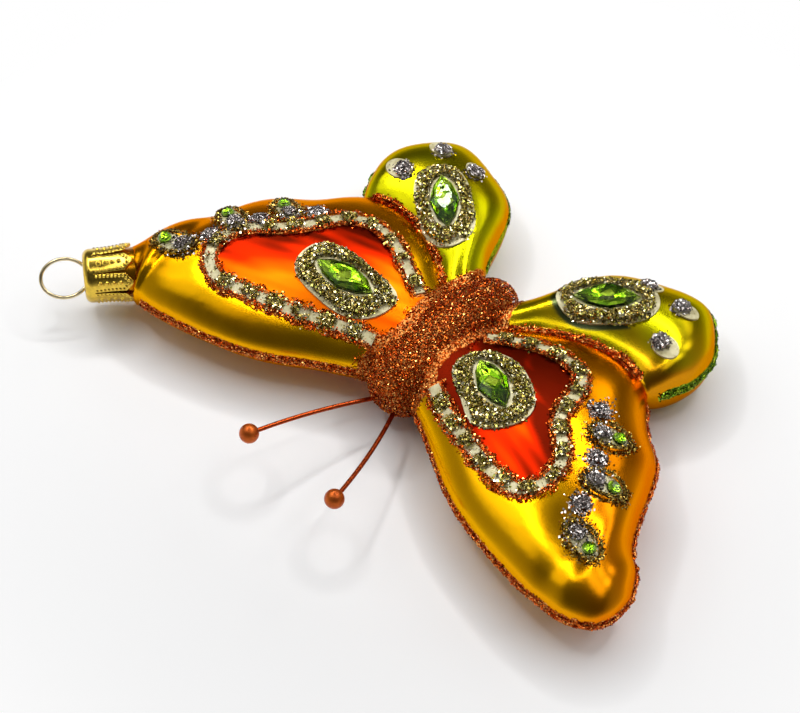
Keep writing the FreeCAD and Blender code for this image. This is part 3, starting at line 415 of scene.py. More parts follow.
def lacquer():
    """Silvered glass under translucent lacquer, with painted shade round the right hindwing's pad and packed
    glitter where the coats lie.
    """
    shade = Shade("lacquer")
    gold = shade.ramp(shade.attribute("gold_tone"), GOLD_LACQUER)
    red = shade.ramp(shade.attribute("red_tone"), RED_LACQUER)
    back = shade.ramp(shade.attribute("hind_tone"), HIND_LACQUER)
    colour = shade.mix(shade.attribute("hind"), gold, back)
    colour = shade.mix(shade.attribute("field"), colour, red)
    # Painted shade: a dark olive strip round the front of the right hindwing's pad.
    colour = shade.mix(shade.attribute("under_pad_shade"), colour, PAD_SHADE_COLOUR)
    grain = shade.cells(3400)
    glitter = shade.ramp(grain, even_stops(COPPER[:-1]), step=True)
    leaf = shade.ramp(grain, even_stops(GREEN), step=True)
    fray = shade.noise(900, 3)
    loose = shade.sums("MULTIPLY", shade.noise(420, 4), SPILL_FRAY)
    near_coat = shade.sums("MAXIMUM", shade.near("copper_gap", fray, COAT_EDGE),
                           shade.near("band_gap", fray, BAND_PACK_EDGE))
    near_copper = shade.sums("MAXIMUM", near_coat, shade.near("body_gap", loose, SPILL_EDGE))
    near_green = shade.near("green_gap", fray, GREEN_EDGE)
    colour = shade.mix(near_copper, colour, glitter)
    colour = shade.mix(near_green, colour, leaf)
    either = shade.sums("MAXIMUM", near_copper, near_green)
    satin = shade.spread(shade.noise(120, 2), *NOISE_MIDDLE, *SATIN)
    satin = shade.sums("ADD", satin, shade.sums("MULTIPLY", shade.attribute("field"), FIELD_SATIN))
    shade.set(Base_Color=colour, Metallic=1.0, Specular_Tint=(0.90, 0.55, 0.18, 1))
    shade.set(Roughness=shade.sums("ADD", satin, shade.sums("MULTIPLY", either, PACKED_SATIN)))
    ripple = shade.sums("MULTIPLY", shade.noise(70, 1), RIPPLE)
    shade.bump(shade.sums("ADD", ripple, shade.sums("MULTIPLY", either, grain)), 0.8, 0.15)
    return shade.material


def flakes(name, colours):
    """Loose glitter: every flake takes one of the colours."""
    shade = Shade(name)
    shade.set(Base_Color=shade.ramp(shade.per_flake(), even_stops(colours), step=True))
    shade.set(Metallic=1.0, Roughness=0.18)
    return shade.material


def bed(name, colours):
    """Packed glitter under the loose flakes."""
    shade = Shade(name)
    tint = shade.cells(3600)
    shade.set(Base_Color=shade.ramp(tint, even_stops(colours), step=True), Metallic=1.0, Roughness=0.4)
    shade.set(Specular_Tint=(0.6, 0.4, 0.3, 1))
    return shade.bump(tint, 0.7, 0.12).material


def enamel():
    """Hand-laid cream enamel with brush streaks and a pearly sheen."""
    shade = Shade("cream_enamel_brushed")
    brushed = shade.noise(700, 4)
    shade.set(Base_Color=shade.ramp(brushed, [(0.3, (0.50, 0.43, 0.20)), (0.65, (0.74, 0.68, 0.42))]))
    shade.set(Roughness=shade.spread(brushed, *NOISE_MIDDLE, 0.25, 0.45), Metallic=0.15)
    return shade.bump(brushed, 0.5, 0.12).material


def brass(name, colour, rough):
    """Metal that is lighter and darker in patches, and a little rougher where it is worn."""
    shade = Shade(name)
    wear = shade.noise(900, 4)
    light = tuple(min(1.0, WORN_LIGHT * part) for part in colour)
    dark = tuple(WORN_DARK * part for part in colour)
    shade.set(Base_Color=shade.ramp(wear, [(0.35, dark), (0.65, light)]), Metallic=1.0)
    shade.set(Roughness=shade.spread(wear, *NOISE_MIDDLE, rough, rough + WORN_ROUGH))
    return shade.bump(wear, 0.12, 0.02).material


def stone():
    """Clear green glass of the stones."""
    shade = Shade("peridot_glass")
    shade.set(Base_Color=(0.74, 0.93, 0.30, 1), Roughness=0.05, IOR=1.45, Transmission_Weight=1.0)
    return shade.bump(shade.noise(420, 1), 1.0, 0.06).material


def foil():
    """Foiled facets at the back of the stones: every facet its own green."""
    shade = Shade("stone_foil")
    greens = [(0.0, (0.42, 0.62, 0.04)), (0.3, (0.20, 0.38, 0.015)), (0.55, (0.72, 0.88, 0.18)),
              (0.8, (0.30, 0.52, 0.025))]
    shade.set(Base_Color=shade.ramp(shade.per_flake(), greens, step=True), Metallic=1.0, Roughness=0.16)
    return shade.material


def satin_bead():
    """Rust lacquer of the antenna beads."""
    shade = Shade("bead_lacquer")
    cloud = shade.noise(600, 3)
    shade.set(Base_Color=shade.ramp(cloud, [(0.3, (0.40, 0.07, 0.006)), (0.7, (0.62, 0.13, 0.012))]))
    shade.set(Metallic=0.75, Roughness=0.38)
    return shade.bump(cloud, 0.2, 0.03).material


# Meshes

def add_object(name, data):
    """Puts a mesh, lamp or camera into the scene."""
    made = bpy.data.objects.new(name, data)
    bpy.context.scene.collection.objects.link(made)
    return made


def make_mesh(name, points, faces, material):
    mesh = bpy.data.meshes.new(name)
    mesh.from_pydata(points, [], faces)
    mesh.materials.append(material)
    mesh.update()
    return add_object(name, mesh)


def round_off(mesh):
    """Shades every face of a mesh smoothly."""
    mesh.polygons.foreach_set("use_smooth", [True] * len(mesh.polygons))


def even_out(piece, voxel):
    """Remakes a piece's mesh from cubes of one size, in mm."""
    bpy.context.view_layer.objects.active = piece
    remesh = piece.modifiers.new("even", "REMESH")
    remesh.mode = "VOXEL"
    remesh.voxel_size = voxel * MM
    bpy.ops.object.modifier_apply(modifier="even")


def points_of(mesh):
    """A mesh's points as rows, in metres."""
    co = np.zeros(len(mesh.vertices) * 3)
    mesh.vertices.foreach_get("co", co)
    return co.reshape(-1, 3)


def patches(places, grain):
    """Noise at each place, from about -1 to 1."""
    return np.array([noise.noise(Vector(p) * grain) for p in places])


def corners_of(node):
    """Points and triangles of a CAD node, in metres."""
    mesh = NODES[node].data
    mesh.calc_loop_triangles()
    points = np.array([v.co for v in mesh.vertices])
    faces = np.array([t.vertices for t in mesh.loop_triangles])
    return points, faces


def tree_of(node):
    points, faces = corners_of(node)
    return BVHTree.FromPolygons([Vector(p) for p in points], faces.tolist())


def plug_holes(made):
    """Closes the mouth and the two antenna holes, so that the hollow is shut off from the outside."""
    facing = Vector(NECK_AXIS).to_track_quat("Z", "Y").to_matrix().to_4x4()
    middle = Vector((NECK_START + NECK_AXIS * PLUG_DEPTH) * MM)
    bmesh.ops.create_cone(made, cap_ends=True, segments=PLUG_SEGMENTS, radius1=PLUG_RADIUS * MM,
                          radius2=PLUG_RADIUS * MM, depth=PLUG_THICK * MM,
                          matrix=Matrix.Translation(middle) @ facing)
    glass = tree_of("glass_body")
    for side in SIDES:
        points, _ = corners_of("antenna_wire_" + side)
        inside = [p for p in points if glass.find_nearest(Vector(p))[3] < HOLE_REACH * MM]
        hole = Matrix.Translation(Vector(np.mean(inside, axis=0)))
        bmesh.ops.create_icosphere(made, subdivisions=3, radius=HOLE_PLUG * MM, matrix=hole)


def largest_island(made):
    """Vertices of the connected part of a mesh that reaches furthest."""
    seen = set()
    best_reach = 0
    best = set()
    for vertex in made.verts:
        if vertex in seen:
            continue
        island = [vertex]
        seen.add(vertex)
        for reached in island:
            for edge in reached.link_edges:
                other = edge.other_vert(reached)
                if other not in seen:
                    seen.add(other)
                    island.append(other)
        reach = max(v.co.x for v in island) - min(v.co.x for v in island)
        if reach > best_reach:
            best_reach = reach
            best = set(island)
    return best


def outer_skin():
    """The glass's outside as one smooth mesh, closed over the mouth and the antenna holes."""
    made = bmesh.new()
    made.from_mesh(NODES["glass_body"].data)
    bmesh.ops.remove_doubles(made, verts=made.verts, dist=SKIN_WELD * MM)
    plug_holes(made)
    mesh = bpy.data.meshes.new("glass_skin")
    made.to_mesh(mesh)
    made.free()
    skin = add_object("glass_skin", mesh)
    even_out(skin, SKIN_VOXEL)
    made = bmesh.new()
    made.from_mesh(skin.data)
    kept = largest_island(made)
    bmesh.ops.delete(made, geom=[v for v in made.verts if v not in kept], context="VERTS")
    made.to_mesh(skin.data)
    made.free()
    smooth = skin.modifiers.new("soft", "SMOOTH")
    smooth.factor = SKIN_SMOOTHING
    smooth.iterations = SKIN_PASSES
    bpy.ops.object.modifier_apply(modifier="soft")
    round_off(skin.data)
    return skin


def inside_share(places, outline, soft):
    """1 inside the outline, 0 outside, changing over soft millimetres."""
    outline = np.array(outline, float)
    near = np.full(len(places), 1e9)
    crossings = np.zeros(len(places), int)
    for start, end in zip(outline, np.roll(outline, -1, axis=0)):
        along = end - start
        share = np.clip(((places - start) @ along) / (along @ along), 0, 1)
        near = np.minimum(near, np.linalg.norm(places - start - share[:, None] * along, axis=1))
        spans = (start[1] > places[:, 1]) != (end[1] > places[:, 1])
        rise = np.where(end[1] == start[1], 1e-9, end[1] - start[1])
        meets = start[0] + (places[:, 1] - start[1]) / rise * (end[0] - start[0])
        crossings += spans & (places[:, 0] < meets)
    signed = np.where(crossings % 2 == 1, near, -near)
    return np.clip(0.5 + signed / soft, 0, 1)


def write_attribute(mesh, name, values):
    made = mesh.attributes.new(name, "FLOAT", "POINT")
    made.data.foreach_set("value", np.asarray(values, np.float32))


def smooth_share(values, low, high):
    share = np.clip((values - low) / (high - low), 0, 1)
    return share * share * (3 - 2 * share)


def streaks(places, along, across, seed):
    """Soft streaks that run outward along a wing."""
    outward, aside = STREAK_TURN
    span = (np.abs(places[:, 0]) * outward - places[:, 1] * aside) * along
    width = (np.abs(places[:, 0]) * aside + places[:, 1] * outward) * across
    seeds = seed + (places[:, 0] > 0) * RIGHT_SEED
    return np.array([noise.noise(Vector(point)) for point in zip(span, width, seeds)])


def gap_to(points, nodes, reach=2.0):
    """Distance in mm from each point to the nearest of some coats, up to a reach."""
    near = np.full(len(points), reach)
    for node in nodes:
        tree = tree_of(node)
        for index, point in enumerate(points):
            found = tree.find_nearest(Vector(point), near[index] * MM)
            if found[0] is not None:
                near[index] = found[3] / MM
    return near


def gold_tones(aft, steep, wide):
    """Forewings: from yellow to amber towards the trailing side and on the slopes."""
    by_aft, by_slope, by_streak = GOLD_SHARES
    tone = by_aft * smooth_share(aft, *GOLD_AFT) + by_slope * smooth_share(steep, *GOLD_STEEP)
    return tone + by_streak * wide


def red_tones(places, aft, fine, wide):
    """Fields: from orange to deep red towards the trailing side, and on the right also towards the body; the
    deep red is partly the lacquer's own and partly painted shade.
    """
    left = RED_LEFT_SHARE * smooth_share(aft, *RED_LEFT_AFT)
    inward = smooth_share(RED_INNER_PLACE - places[:, 0], *RED_INNER_SPAN)
    # The right field starts darker and deepens towards the body: partly painted shade that keeps the lamps'
    # reflection dim.
    right = RED_RIGHT_START + RED_RIGHT_SHARE * np.maximum(smooth_share(aft, *RED_RIGHT_AFT), inward)
    start, by_side, by_fine, by_wide = RED_SHARES
    return start + by_side * np.where(places[:, 0] < 0, left, right) + by_fine * fine + by_wide * wide


def hind_tones(places, steep, wide):
    """Hindwings: from yellow green to amber on the slopes, and on the right in front and at the outer end."""
    right = places[:, 0] > 0
    by_front, by_end, by_streak = HIND_SHARES
    warm = right * by_front * smooth_share(HIND_FRONT - places[:, 1], *HIND_FRONT_SPAN)
    warm += right * by_end * smooth_share(places[:, 0], *HIND_END)
    return HIND_START + smooth_share(steep, *HIND_STEEP) + warm + by_streak * wide


def paint_regions(skin):
    """Vertex shares that the lacquer's colours follow."""
    mesh = skin.data
    points = points_of(mesh)
    places = points / MM - WING_ORIGIN
    steep = 1 - np.abs(np.array([v.normal for v in mesh.vertices])[:, 2])
    across, back = AFT_TURN
    aft = across * np.abs(places[:, 0]) + back * places[:, 1]
    wide = streaks(places, *WIDE_STREAKS)
    fine = streaks(places, *FINE_STREAKS)
    edge = np.where(places[:, 2] > 0, FIELD_EDGE, FIELD_EDGE_BELOW)
    fields = [inside_share(places[:, :2], outline, edge) for outline in FIELDS.values()]
    crease = np.interp(np.abs(places[:, 0]), *zip(*CREASE))
    # Painted shade round the right hindwing's pad, only in front of it.
    padded = 1 - smooth_share(gap_to(points, ["stone_pad_hind_right"]), *PAD_SHADE_EDGE)
    coppers = [name for name in NODES if name.startswith(("seam_copper", "groove", "body_glitter"))]
    shares = {
        "field": np.maximum(*fields),
        "hind": np.clip(0.5 + (places[:, 1] - crease) / CREASE_EDGE, 0, 1),
        "gold_tone": np.clip(gold_tones(aft, steep, wide), 0, 1),
        "red_tone": np.clip(red_tones(places, aft, fine, wide), 0, 1),
        "hind_tone": np.clip(hind_tones(places, steep, wide), 0, 1),
        "under_pad_shade": padded * (places[:, 1] < PAD_SHADE_BACK),
        "band_gap": gap_to(points, ["band_enamel_left", "band_enamel_right"]),
        "copper_gap": gap_to(points, coppers),
        "green_gap": gap_to(points, ["seam_green_left", "seam_green_right"]),
        "body_gap": gap_to(points, ["body_glitter"], SPILL_REACH + SPILL_FRAY + 1),
    }
    for name, values in shares.items():
        write_attribute(mesh, name, values)


# Glitter

def outer_faces(node, skin_tree):
    """Triangles of a coat that look away from the glass."""
    points, faces = corners_of(node)
    triangles = points[faces]
    cross = np.cross(triangles[:, 1] - triangles[:, 0], triangles[:, 2] - triangles[:, 0])
    area = np.linalg.norm(cross, axis=1) / 2
    normal = cross / np.maximum(2 * area, 1e-15)[:, None]
    kept = []
    for index, centre in enumerate(triangles.mean(axis=1)):
        _, out, _, away = skin_tree.find_nearest(Vector(centre))
        looks_out = float(np.dot(normal[index], out)) > OUTWARD
        kept.append(looks_out and away > OUTER_GAP * MM)
    kept = np.array(kept)
    return triangles[kept], area[kept]


def coat_places(node, count, skin_tree, aside):
    """Random places on a coat, of which patches stray off its edge by aside mm."""
    triangles, area = outer_faces(node, skin_tree)
    picks = RANDOM.choice(len(triangles), size=count, p=area / area.sum())
    first = np.sqrt(RANDOM.random(count))
    second = RANDOM.random(count)
    shares = np.stack([1 - first, first * (1 - second), first * second], axis=1)
    places = np.einsum("ij,ijk->ik", shares, triangles[picks])
    least, more = STRAY_LEVELS
    patchy = least + more * np.abs(patches(places, STRAY_GRAIN))
    return places + RANDOM.normal(0, aside * MM, places.shape) * patchy[:, None]


def raised_tree():
    """Every coat, pad, band and patch that lies on the glass, as one surface."""
    points = []
    faces = []
    for name in NODES:
        if name.startswith(("glass", "crown", "hanger", "antenna", "navette", "chaton")):
            continue
        own_points, own_faces = corners_of(name)
        faces += (own_faces + len(points)).tolist()
        points += [Vector(p) for p in own_points]
    return BVHTree.FromPolygons(points, faces)


def settle(places, coat, skin_tree, deep, risen):
    """Lifts flakes on to a coat, or on to the glass beside it, and gives them the outward direction."""
    made = []
    for place in places:
        spot, out, _, _ = skin_tree.find_nearest(Vector(place))
        hit = coat.ray_cast(spot + out * (DROP_HEIGHT * MM), -out, DROP_HEIGHT * MM)[0]
        top = (hit - spot).dot(out) if hit is not None else 0.0
        lift = top - min(top, deep * MM) * RANDOM.random() ** 2 + risen * MM * RANDOM.random() ** 2
        if top == 0.0:
            lift = RANDOM.uniform(*BARE_LIFT) * MM
        made.append((np.array(spot + out * max(lift, LEAST_LIFT * MM)), np.array(out)))
    return made


def hexagons(name, spots, radius, material, tilt):
    """Hexagonal flakes at the spots, tilted at random, as one piece inside the CAD part's box."""
    count = len(spots)
    centres = np.array([spot for spot, _ in spots])
    normals = np.array([out for _, out in spots]) + RANDOM.normal(0, tilt, (count, 3))
    normals /= np.linalg.norm(normals, axis=1)[:, None]
    helper = RANDOM.normal(0, 1, (count, 3))
    across = np.cross(normals, helper)
    across /= np.linalg.norm(across, axis=1)[:, None]
    along = np.cross(normals, across)
    sizes = radius * MM * RANDOM.uniform(*FLAKE_SIZES, count)
    angles = (np.arange(FLAKE_CORNERS) * 2 * math.pi / FLAKE_CORNERS)[None, :, None]
    ring = np.cos(angles) * across[:, None, :] + np.sin(angles) * along[:, None, :]
    points = np.clip(centres[:, None, :] + ring * sizes[:, None, None], *np.array(CAD_BOX))
    faces = np.arange(count * FLAKE_CORNERS).reshape(-1, FLAKE_CORNERS)
    made = make_mesh(name, points.reshape(-1, 3).tolist(), faces.tolist(), material)
    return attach(made, "ornament")


def worn_belt(node, skin_tree, material):
    """A seam's packed glitter: the coat's own form, drawn in towards the seam and made ragged."""
    mesh = NODES[node].data.copy()
    mesh.materials.clear()
    mesh.materials.append(material)
    belt = add_object("packed_" + node, mesh)
    even_out(belt, BELT_VOXEL)
    seam = WING_ORIGIN[2] * MM
    for vertex in belt.data.vertices:
        gap = skin_tree.find_nearest(vertex.co)[3]
        ragged = noise.noise(vertex.co * BELT_GRAIN)
        lower = vertex.co.copy()
        lower.z = seam + (lower.z - seam) * (BELT_HEIGHT_SHARE + BELT_EDGE_SHARE * ragged)
        spot, out, _, _ = skin_tree.find_nearest(lower)
        vertex.co = spot + out * (gap * (BELT_THICK_SHARE + BELT_FRAY_SHARE * ragged))
    belt.data.update()
    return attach(belt, "ornament")


def near_band(places, node):
    """Which places lie within a ragged distance of a band's enamel."""
    enamel_tree = tree_of(node)
    gap = np.array([enamel_tree.find_nearest(Vector(p))[3] / MM for p in places])
    return gap + BAND_FRAY * patches(places, BAND_GRAIN) < BAND_EDGE


def clear_of_stones(places, skin_tree):
    """Which places lie outside every stone's foot."""
    clear = np.ones(len(places), bool)
    for name in NODES:
        if name.startswith(("navette", "chaton")):
            origin, (long, short, up), (half, width, _) = stone_frame(name, skin_tree)
            offsets = places - origin
            reach = (offsets @ long / half) ** 2 + (offsets @ short / width) ** 2
            clear &= (reach > FOOT_REACH) | (np.abs(offsets @ up) > FOOT_HEIGHT * MM)
    return clear


def pile(node, count, radius, material, skin_tree, raised, aside, deep, tilt):
    """Loose flakes in the place of a coat."""
    places = coat_places(node, count, skin_tree, aside)
    if node.startswith("band_copper"):
        places = places[near_band(places, "band_enamel_" + node.split("_")[-1])]
    if node.startswith("band_gold"):
        places = places[patches(places, CLUMP_GRAIN) > CLUMP_GAPS]
    if node.startswith("seam"):
        rise = np.abs(places[:, 2] / MM - WING_ORIGIN[2])
        places = places[rise < SEAM_COVER_SHARE * rise.max()]
    if node.startswith(("stone", "spot", "silver")):
        places = places[clear_of_stones(places, skin_tree)]
    spots = settle(places, raised, skin_tree, deep, PILE_RISE)
    return hexagons("loose_" + node, spots, radius, material, tilt)


def pad_pile(pad, node, count, radius, material, skin_tree, raised):
    """Loose flakes on a pad round its stone, leaving patches of the pad's rim bare."""
    origin, (long, short, _), (half, width, _) = stone_frame(node, skin_tree)
    places = coat_places(pad, count, skin_tree, PAD_ASIDE)
    places = places[clear_of_stones(places, skin_tree)]
    offsets = places - origin
    cover = PAD_COVER * MM
    reach = (offsets @ long / (half + cover)) ** 2 + (offsets @ short / (width + cover)) ** 2
    ragged = PAD_FRAY * patches(places, PAD_GRAIN)
    spots = settle(places[reach + ragged < 1], raised, skin_tree, PAD_DEPTH, PAD_RISE)
    return hexagons("strewn_" + pad, spots, radius, material, PAD_TILT)


def spill(skin, count, radius, material, skin_tree, raised):
    """Loose flakes on the glass round the body."""
    mesh = skin.data
    gap = np.zeros(len(mesh.vertices), np.float32)
    mesh.attributes["body_gap"].data.foreach_get("value", gap)
    close = gap < SPILL_REACH + SPILL_FRAY / 2
    points = points_of(mesh)[close]
    points = points[gap[close] + SPILL_FRAY * patches(points, SPILL_GRAIN) < SPILL_REACH]
    picks = RANDOM.integers(0, len(points), count)
    places = points[picks] + RANDOM.normal(0, SPILL_ASIDE * MM, (count, 3))
    spots = settle(places, raised, skin_tree, SPILL_DEPTH, SPILL_RISE)
    return hexagons("loose_body_spill", spots, radius, material, SPILL_TILT)


# Stones

def stone_frame(node, skin_tree):
    """Middle, the three directions (long, short, outward) and the half sizes of a stone, in metres."""
    points, _ = corners_of(node)
    middle = (points.max(axis=0) + points.min(axis=0)) / 2
    _, _, axes = np.linalg.svd(points - points.mean(axis=0), full_matrices=False)
    out = np.array(skin_tree.find_nearest(Vector(middle))[1])
    axes = sorted(axes, key=lambda axis: abs(axis @ out))
    up = axes[2] if axes[2] @ out > 0 else -axes[2]
    spans = [np.ptp(points @ axis) for axis in axes[:2]]
    long, short = (axes[0], axes[1]) if spans[0] > spans[1] else (axes[1], axes[0])
    low = np.array([(points @ axis).min() for axis in (long, short, up)])
    high = np.array([(points @ axis).max() for axis in (long, short, up)])
    origin = sum(axis * (a + b) / 2 for axis, a, b in zip((long, short), low, high)) + up * low[2]
    return origin, (long, short, up), (high - low) / 2


def foil_back(node, skin_tree, material):
    """Foiled facets inside a stone, from below its edge down to a keel at its back."""
    origin, (long, short, up), (half, width, rise) = stone_frame(node, skin_tree)
    keel = KEEL_SHARE * (half - width)
    pinch = FOIL_PINCH * (half > LONG_STONE * width)

    def place(angle, share, height):
        pointed = 1 - pinch * abs(math.sin(2 * angle))
        return (origin + long * half * share * pointed * math.cos(angle)
                + short * width * share * pointed * math.sin(angle) + up * height)

    rims = []
    inner = []
    keels = []
    for index in range(FOIL_FACETS):
        edge = 2 * math.pi * index / FOIL_FACETS
        between = 2 * math.pi * (index + 0.5) / FOIL_FACETS
        rims.append(place(edge, FOIL_RIM[0], FOIL_RIM[1] * rise))
        inner.append(place(between, FOIL_INNER[0], FOIL_INNER[1] * rise))
        keels.append(origin + long * math.copysign(keel, math.cos(between)) + up * KEEL_HEIGHT * rise)
    triangles = []
    for i in range(FOIL_FACETS):
        j = (i + 1) % FOIL_FACETS
        triangles += [(rims[i], rims[j], inner[i]), (inner[i], rims[j], inner[j])]
        triangles.append((inner[i], inner[j], keels[i]))
    points = [tuple(p) for triangle in triangles for p in triangle]
    faces = [(3 * i, 3 * i + 1, 3 * i + 2) for i in range(len(triangles))]
    made = make_mesh("foil_" + node, points, faces, material)
    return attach(made, "ornament")


# Crown cap

def cap_profile(along):
    """Radius and height over the rim at a distance along the sheet, from a tab's tip to the top's middle."""
    straight = CAP_LENGTH - CAP_SHOULDER
    bend = CAP_SHOULDER * math.pi / 2
    if along < straight:
        flare = CAP_FLARE * max(0.0, 1 - along / (CAP_FLARE_SHARE * straight)) ** 2
        return CAP_RADIUS + flare, along
    if along < straight + bend:
        angle = (along - straight) / CAP_SHOULDER
        return CAP_RADIUS - CAP_SHOULDER * (1 - math.cos(angle)), straight + CAP_SHOULDER * math.sin(angle)
    return CAP_RADIUS - CAP_SHOULDER - (along - straight - bend), CAP_LENGTH


def tab_half(along):
    """Half width of a tab on the sheet at a distance from its tip, in mm."""
    full = math.pi * CAP_RADIUS / CAP_TABS
    start = CAP_LENGTH - SLIT_START
    if along >= start:
        return full
    slit = np.interp(along, [TIP_LENGTH, start], [SLIT_RIM, SLIT_TOP]) / 2
    return min(full - slit, TIP_WIDTH / 2 + (full - slit) * along / TIP_LENGTH)


def cap_relief():
    """Middles, radii and rises of the beads and bosses on one tab, along from its tip and across."""
    marks = []
    end = CAP_LENGTH - SLIT_START
    for index in range(int((end - TIP_LENGTH) / BEAD_STEP) + 1):
        along = TIP_LENGTH + BEAD_START + index * BEAD_STEP
        for side in (-1, 1):
            marks.append((along, side * (tab_half(along) - BEAD_INSET), BEAD_SIZE, BEAD_RISE))
    for share in TIP_BEAD_SHARES:
        along = TIP_BEAD_START + share * (TIP_LENGTH - TIP_BEAD_END)
        for side in (-1, 1):
            marks.append((along, side * share * (tab_half(TIP_LENGTH) - BEAD_INSET), BEAD_SIZE, BEAD_RISE))
    for index in range(BOSS_COUNT):
        marks.append((TIP_LENGTH + BOSS_START + index * BOSS_STEP, 0.0, BOSS_SIZE, BOSS_RISE))
    return marks


def ring_directions():
    """Directions across the neck: in the hanger ring's plane, and square to that plane."""
    across = Vector(RING_ACROSS).normalized()
    return across, Vector(NECK_AXIS).normalized().cross(across)


def hanger_path():
    """The wire's middle line in the hanger ring's plane: up one leg, round the ring and down the other."""
    half_across, half_along = RING_HALVES
    opening = math.asin(LEG_ACROSS / half_across)
    centre = CAP_LENGTH + RING_SEAT + half_along * math.cos(opening)
    path = list(LEG_PATH)
    for index in range(RING_STEPS + 1):
        angle = opening + (2 * math.pi - 2 * opening) * index / RING_STEPS
        path.append((half_across * math.sin(angle), centre - half_along * math.cos(angle)))
    return path + [(-a, b) for a, b in reversed(LEG_PATH)]


def hanger(material):
    """Spring wire: a ring whose two legs pass through the cap and spread inside the neck."""
    axis = Vector(NECK_AXIS).normalized()
    across, _ = ring_directions()
    start = Vector(NECK_START) + axis * CAP_RIM
    path = hanger_path()
    curve = bpy.data.curves.new("sprung_wire", "CURVE")
    curve.dimensions = "3D"
    curve.bevel_depth = WIRE_RADIUS * MM
    curve.bevel_resolution = 6
    curve.use_fill_caps = True
    line = curve.splines.new("POLY")
    line.points.add(len(path) - 1)
    for point, (a, b) in zip(line.points, path):
        point.co = (*((start + across * a + axis * b) * MM), 1)
    drawn = add_object("sprung_wire", curve)
    mesh = bpy.data.meshes.new_from_object(drawn.evaluated_get(bpy.context.evaluated_depsgraph_get()))
    bpy.data.objects.remove(drawn)
    mesh.materials.clear()
    mesh.materials.append(material)
    round_off(mesh)
    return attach(add_object("sprung_wire", mesh), "hanger")


def cap_rows():
    """Distances along the sheet at which its rows of points lie."""
    straight = CAP_LENGTH - CAP_SHOULDER
    reach = straight + CAP_SHOULDER * math.pi / 2 + CAP_RADIUS - CAP_SHOULDER - CAP_HOLE
    side = np.linspace(CAP_START, straight, SIDE_ROWS)
    top = np.linspace(straight, reach, TOP_ROWS)
    return np.concatenate([side, top[1:]])


def relief_at(along, across, marks):
    """How far the beads and bosses lift the sheet at a place on a tab."""
    return sum(h * (1 - min(1.0, ((along - a) ** 2 + (across - c) ** 2) / r ** 2)) ** RELIEF_POWER
               for a, c, r, h in marks)


def tab_points(tab, rows, marks, start, axis, first, second):
    """Points of one tab with its share of the shoulder and the top, row by row."""
    middle = 2 * math.pi * (tab + 0.5) / CAP_TABS
    points = []
    for along in rows:
        radius, height = cap_profile(along)
        half = tab_half(along)
        for column in range(TAB_COLUMNS + 1):
            across = half * (2 * column / TAB_COLUMNS - 1)
            angle = middle + across / CAP_RADIUS
            around = first * math.cos(angle) + second * math.sin(angle)
            points.append((start + axis * height + around * (radius + relief_at(along, across, marks))) * MM)
    return points


def in_wire_hole(point, start, axis):
    """Whether a point of the cap's top lies in one of the two holes for the hanger."""
    level, upright = ring_directions()
    offset = Vector(point) / MM - start
    beside = abs(abs(offset.dot(level)) - LEG_ACROSS)
    return math.hypot(beside, offset.dot(upright)) <= WIRE_HOLE and offset.dot(axis) >= CAP_LENGTH - TOP_DEPTH


def tab_faces(points, base, row_count, start, axis):
    """Faces of one tab, whose points start at base, without those in the wire holes."""
    width = TAB_COLUMNS + 1
    faces = []
    for row in range(row_count - 1):
        for column in range(TAB_COLUMNS):
            corner = base + row * width + column
            if not in_wire_hole(points[corner], start, axis):
                faces.append((corner, corner + 1, corner + width + 1, corner + width))
    return faces


def crown_cap(material):
    """Pressed brass cap: eight pointed tabs with beaded edges and a row of bosses."""
    axis = Vector(NECK_AXIS).normalized()
    start = Vector(NECK_START) + axis * CAP_RIM
    facing = bearing_vector(CAMERA_BEARING, CAMERA_HEIGHT)
    first = (facing - axis * facing.dot(axis)).normalized()
    second = axis.cross(first)
    marks = cap_relief()
    rows = cap_rows()
    points = []
    faces = []
    for tab in range(CAP_TABS):
        base = len(points)
        points += tab_points(tab, rows, marks, start, axis, first, second)
        faces += tab_faces(points, base, len(rows), start, axis)
    made = make_mesh("pressed_cap", [tuple(p) for p in points], faces, material)
    welded = bmesh.new()
    welded.from_mesh(made.data)
    bmesh.ops.remove_doubles(welded, verts=welded.verts, dist=CAP_WELD * MM)
    bmesh.ops.recalc_face_normals(welded, faces=welded.faces)
    welded.to_mesh(made.data)
    welded.free()
    sheet = made.modifiers.new("sheet", "SOLIDIFY")
    sheet.thickness = CAP_SHEET * MM
    sheet.offset = -1
    round_off(made.data)
    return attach(made, "cap")


def collar(material):
    """The root of the neck, where it leaves the wing's tip, in the neck's darker brown, which is partly
    painted shade.
    """
    axis = Vector(NECK_AXIS).normalized()
    facing = axis.to_track_quat("Z", "Y").to_matrix().to_4x4()
    middle = (Vector(NECK_START) + axis * sum(COLLAR_ENDS) / 2) * MM
    made = bmesh.new()
    bmesh.ops.create_cone(made, cap_ends=False, segments=COLLAR_SEGMENTS, radius1=COLLAR_RADIUS * MM,
                          radius2=COLLAR_RADIUS * MM, depth=(COLLAR_ENDS[1] - COLLAR_ENDS[0]) * MM,
                          matrix=Matrix.Translation(middle) @ facing)
    mesh = bpy.data.meshes.new("neck_root")
    made.to_mesh(mesh)
    made.free()
    mesh.materials.append(material)
    round_off(mesh)
    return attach(add_object("neck_root", mesh), "ornament")


# Build

SKIN = outer_skin()
paint_regions(SKIN)
SKIN.data.materials.append(lacquer())
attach(SKIN, "ornament")
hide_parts("glass_body")
SKIN_TREE = BVHTree.FromObject(SKIN, bpy.context.evaluated_depsgraph_get())

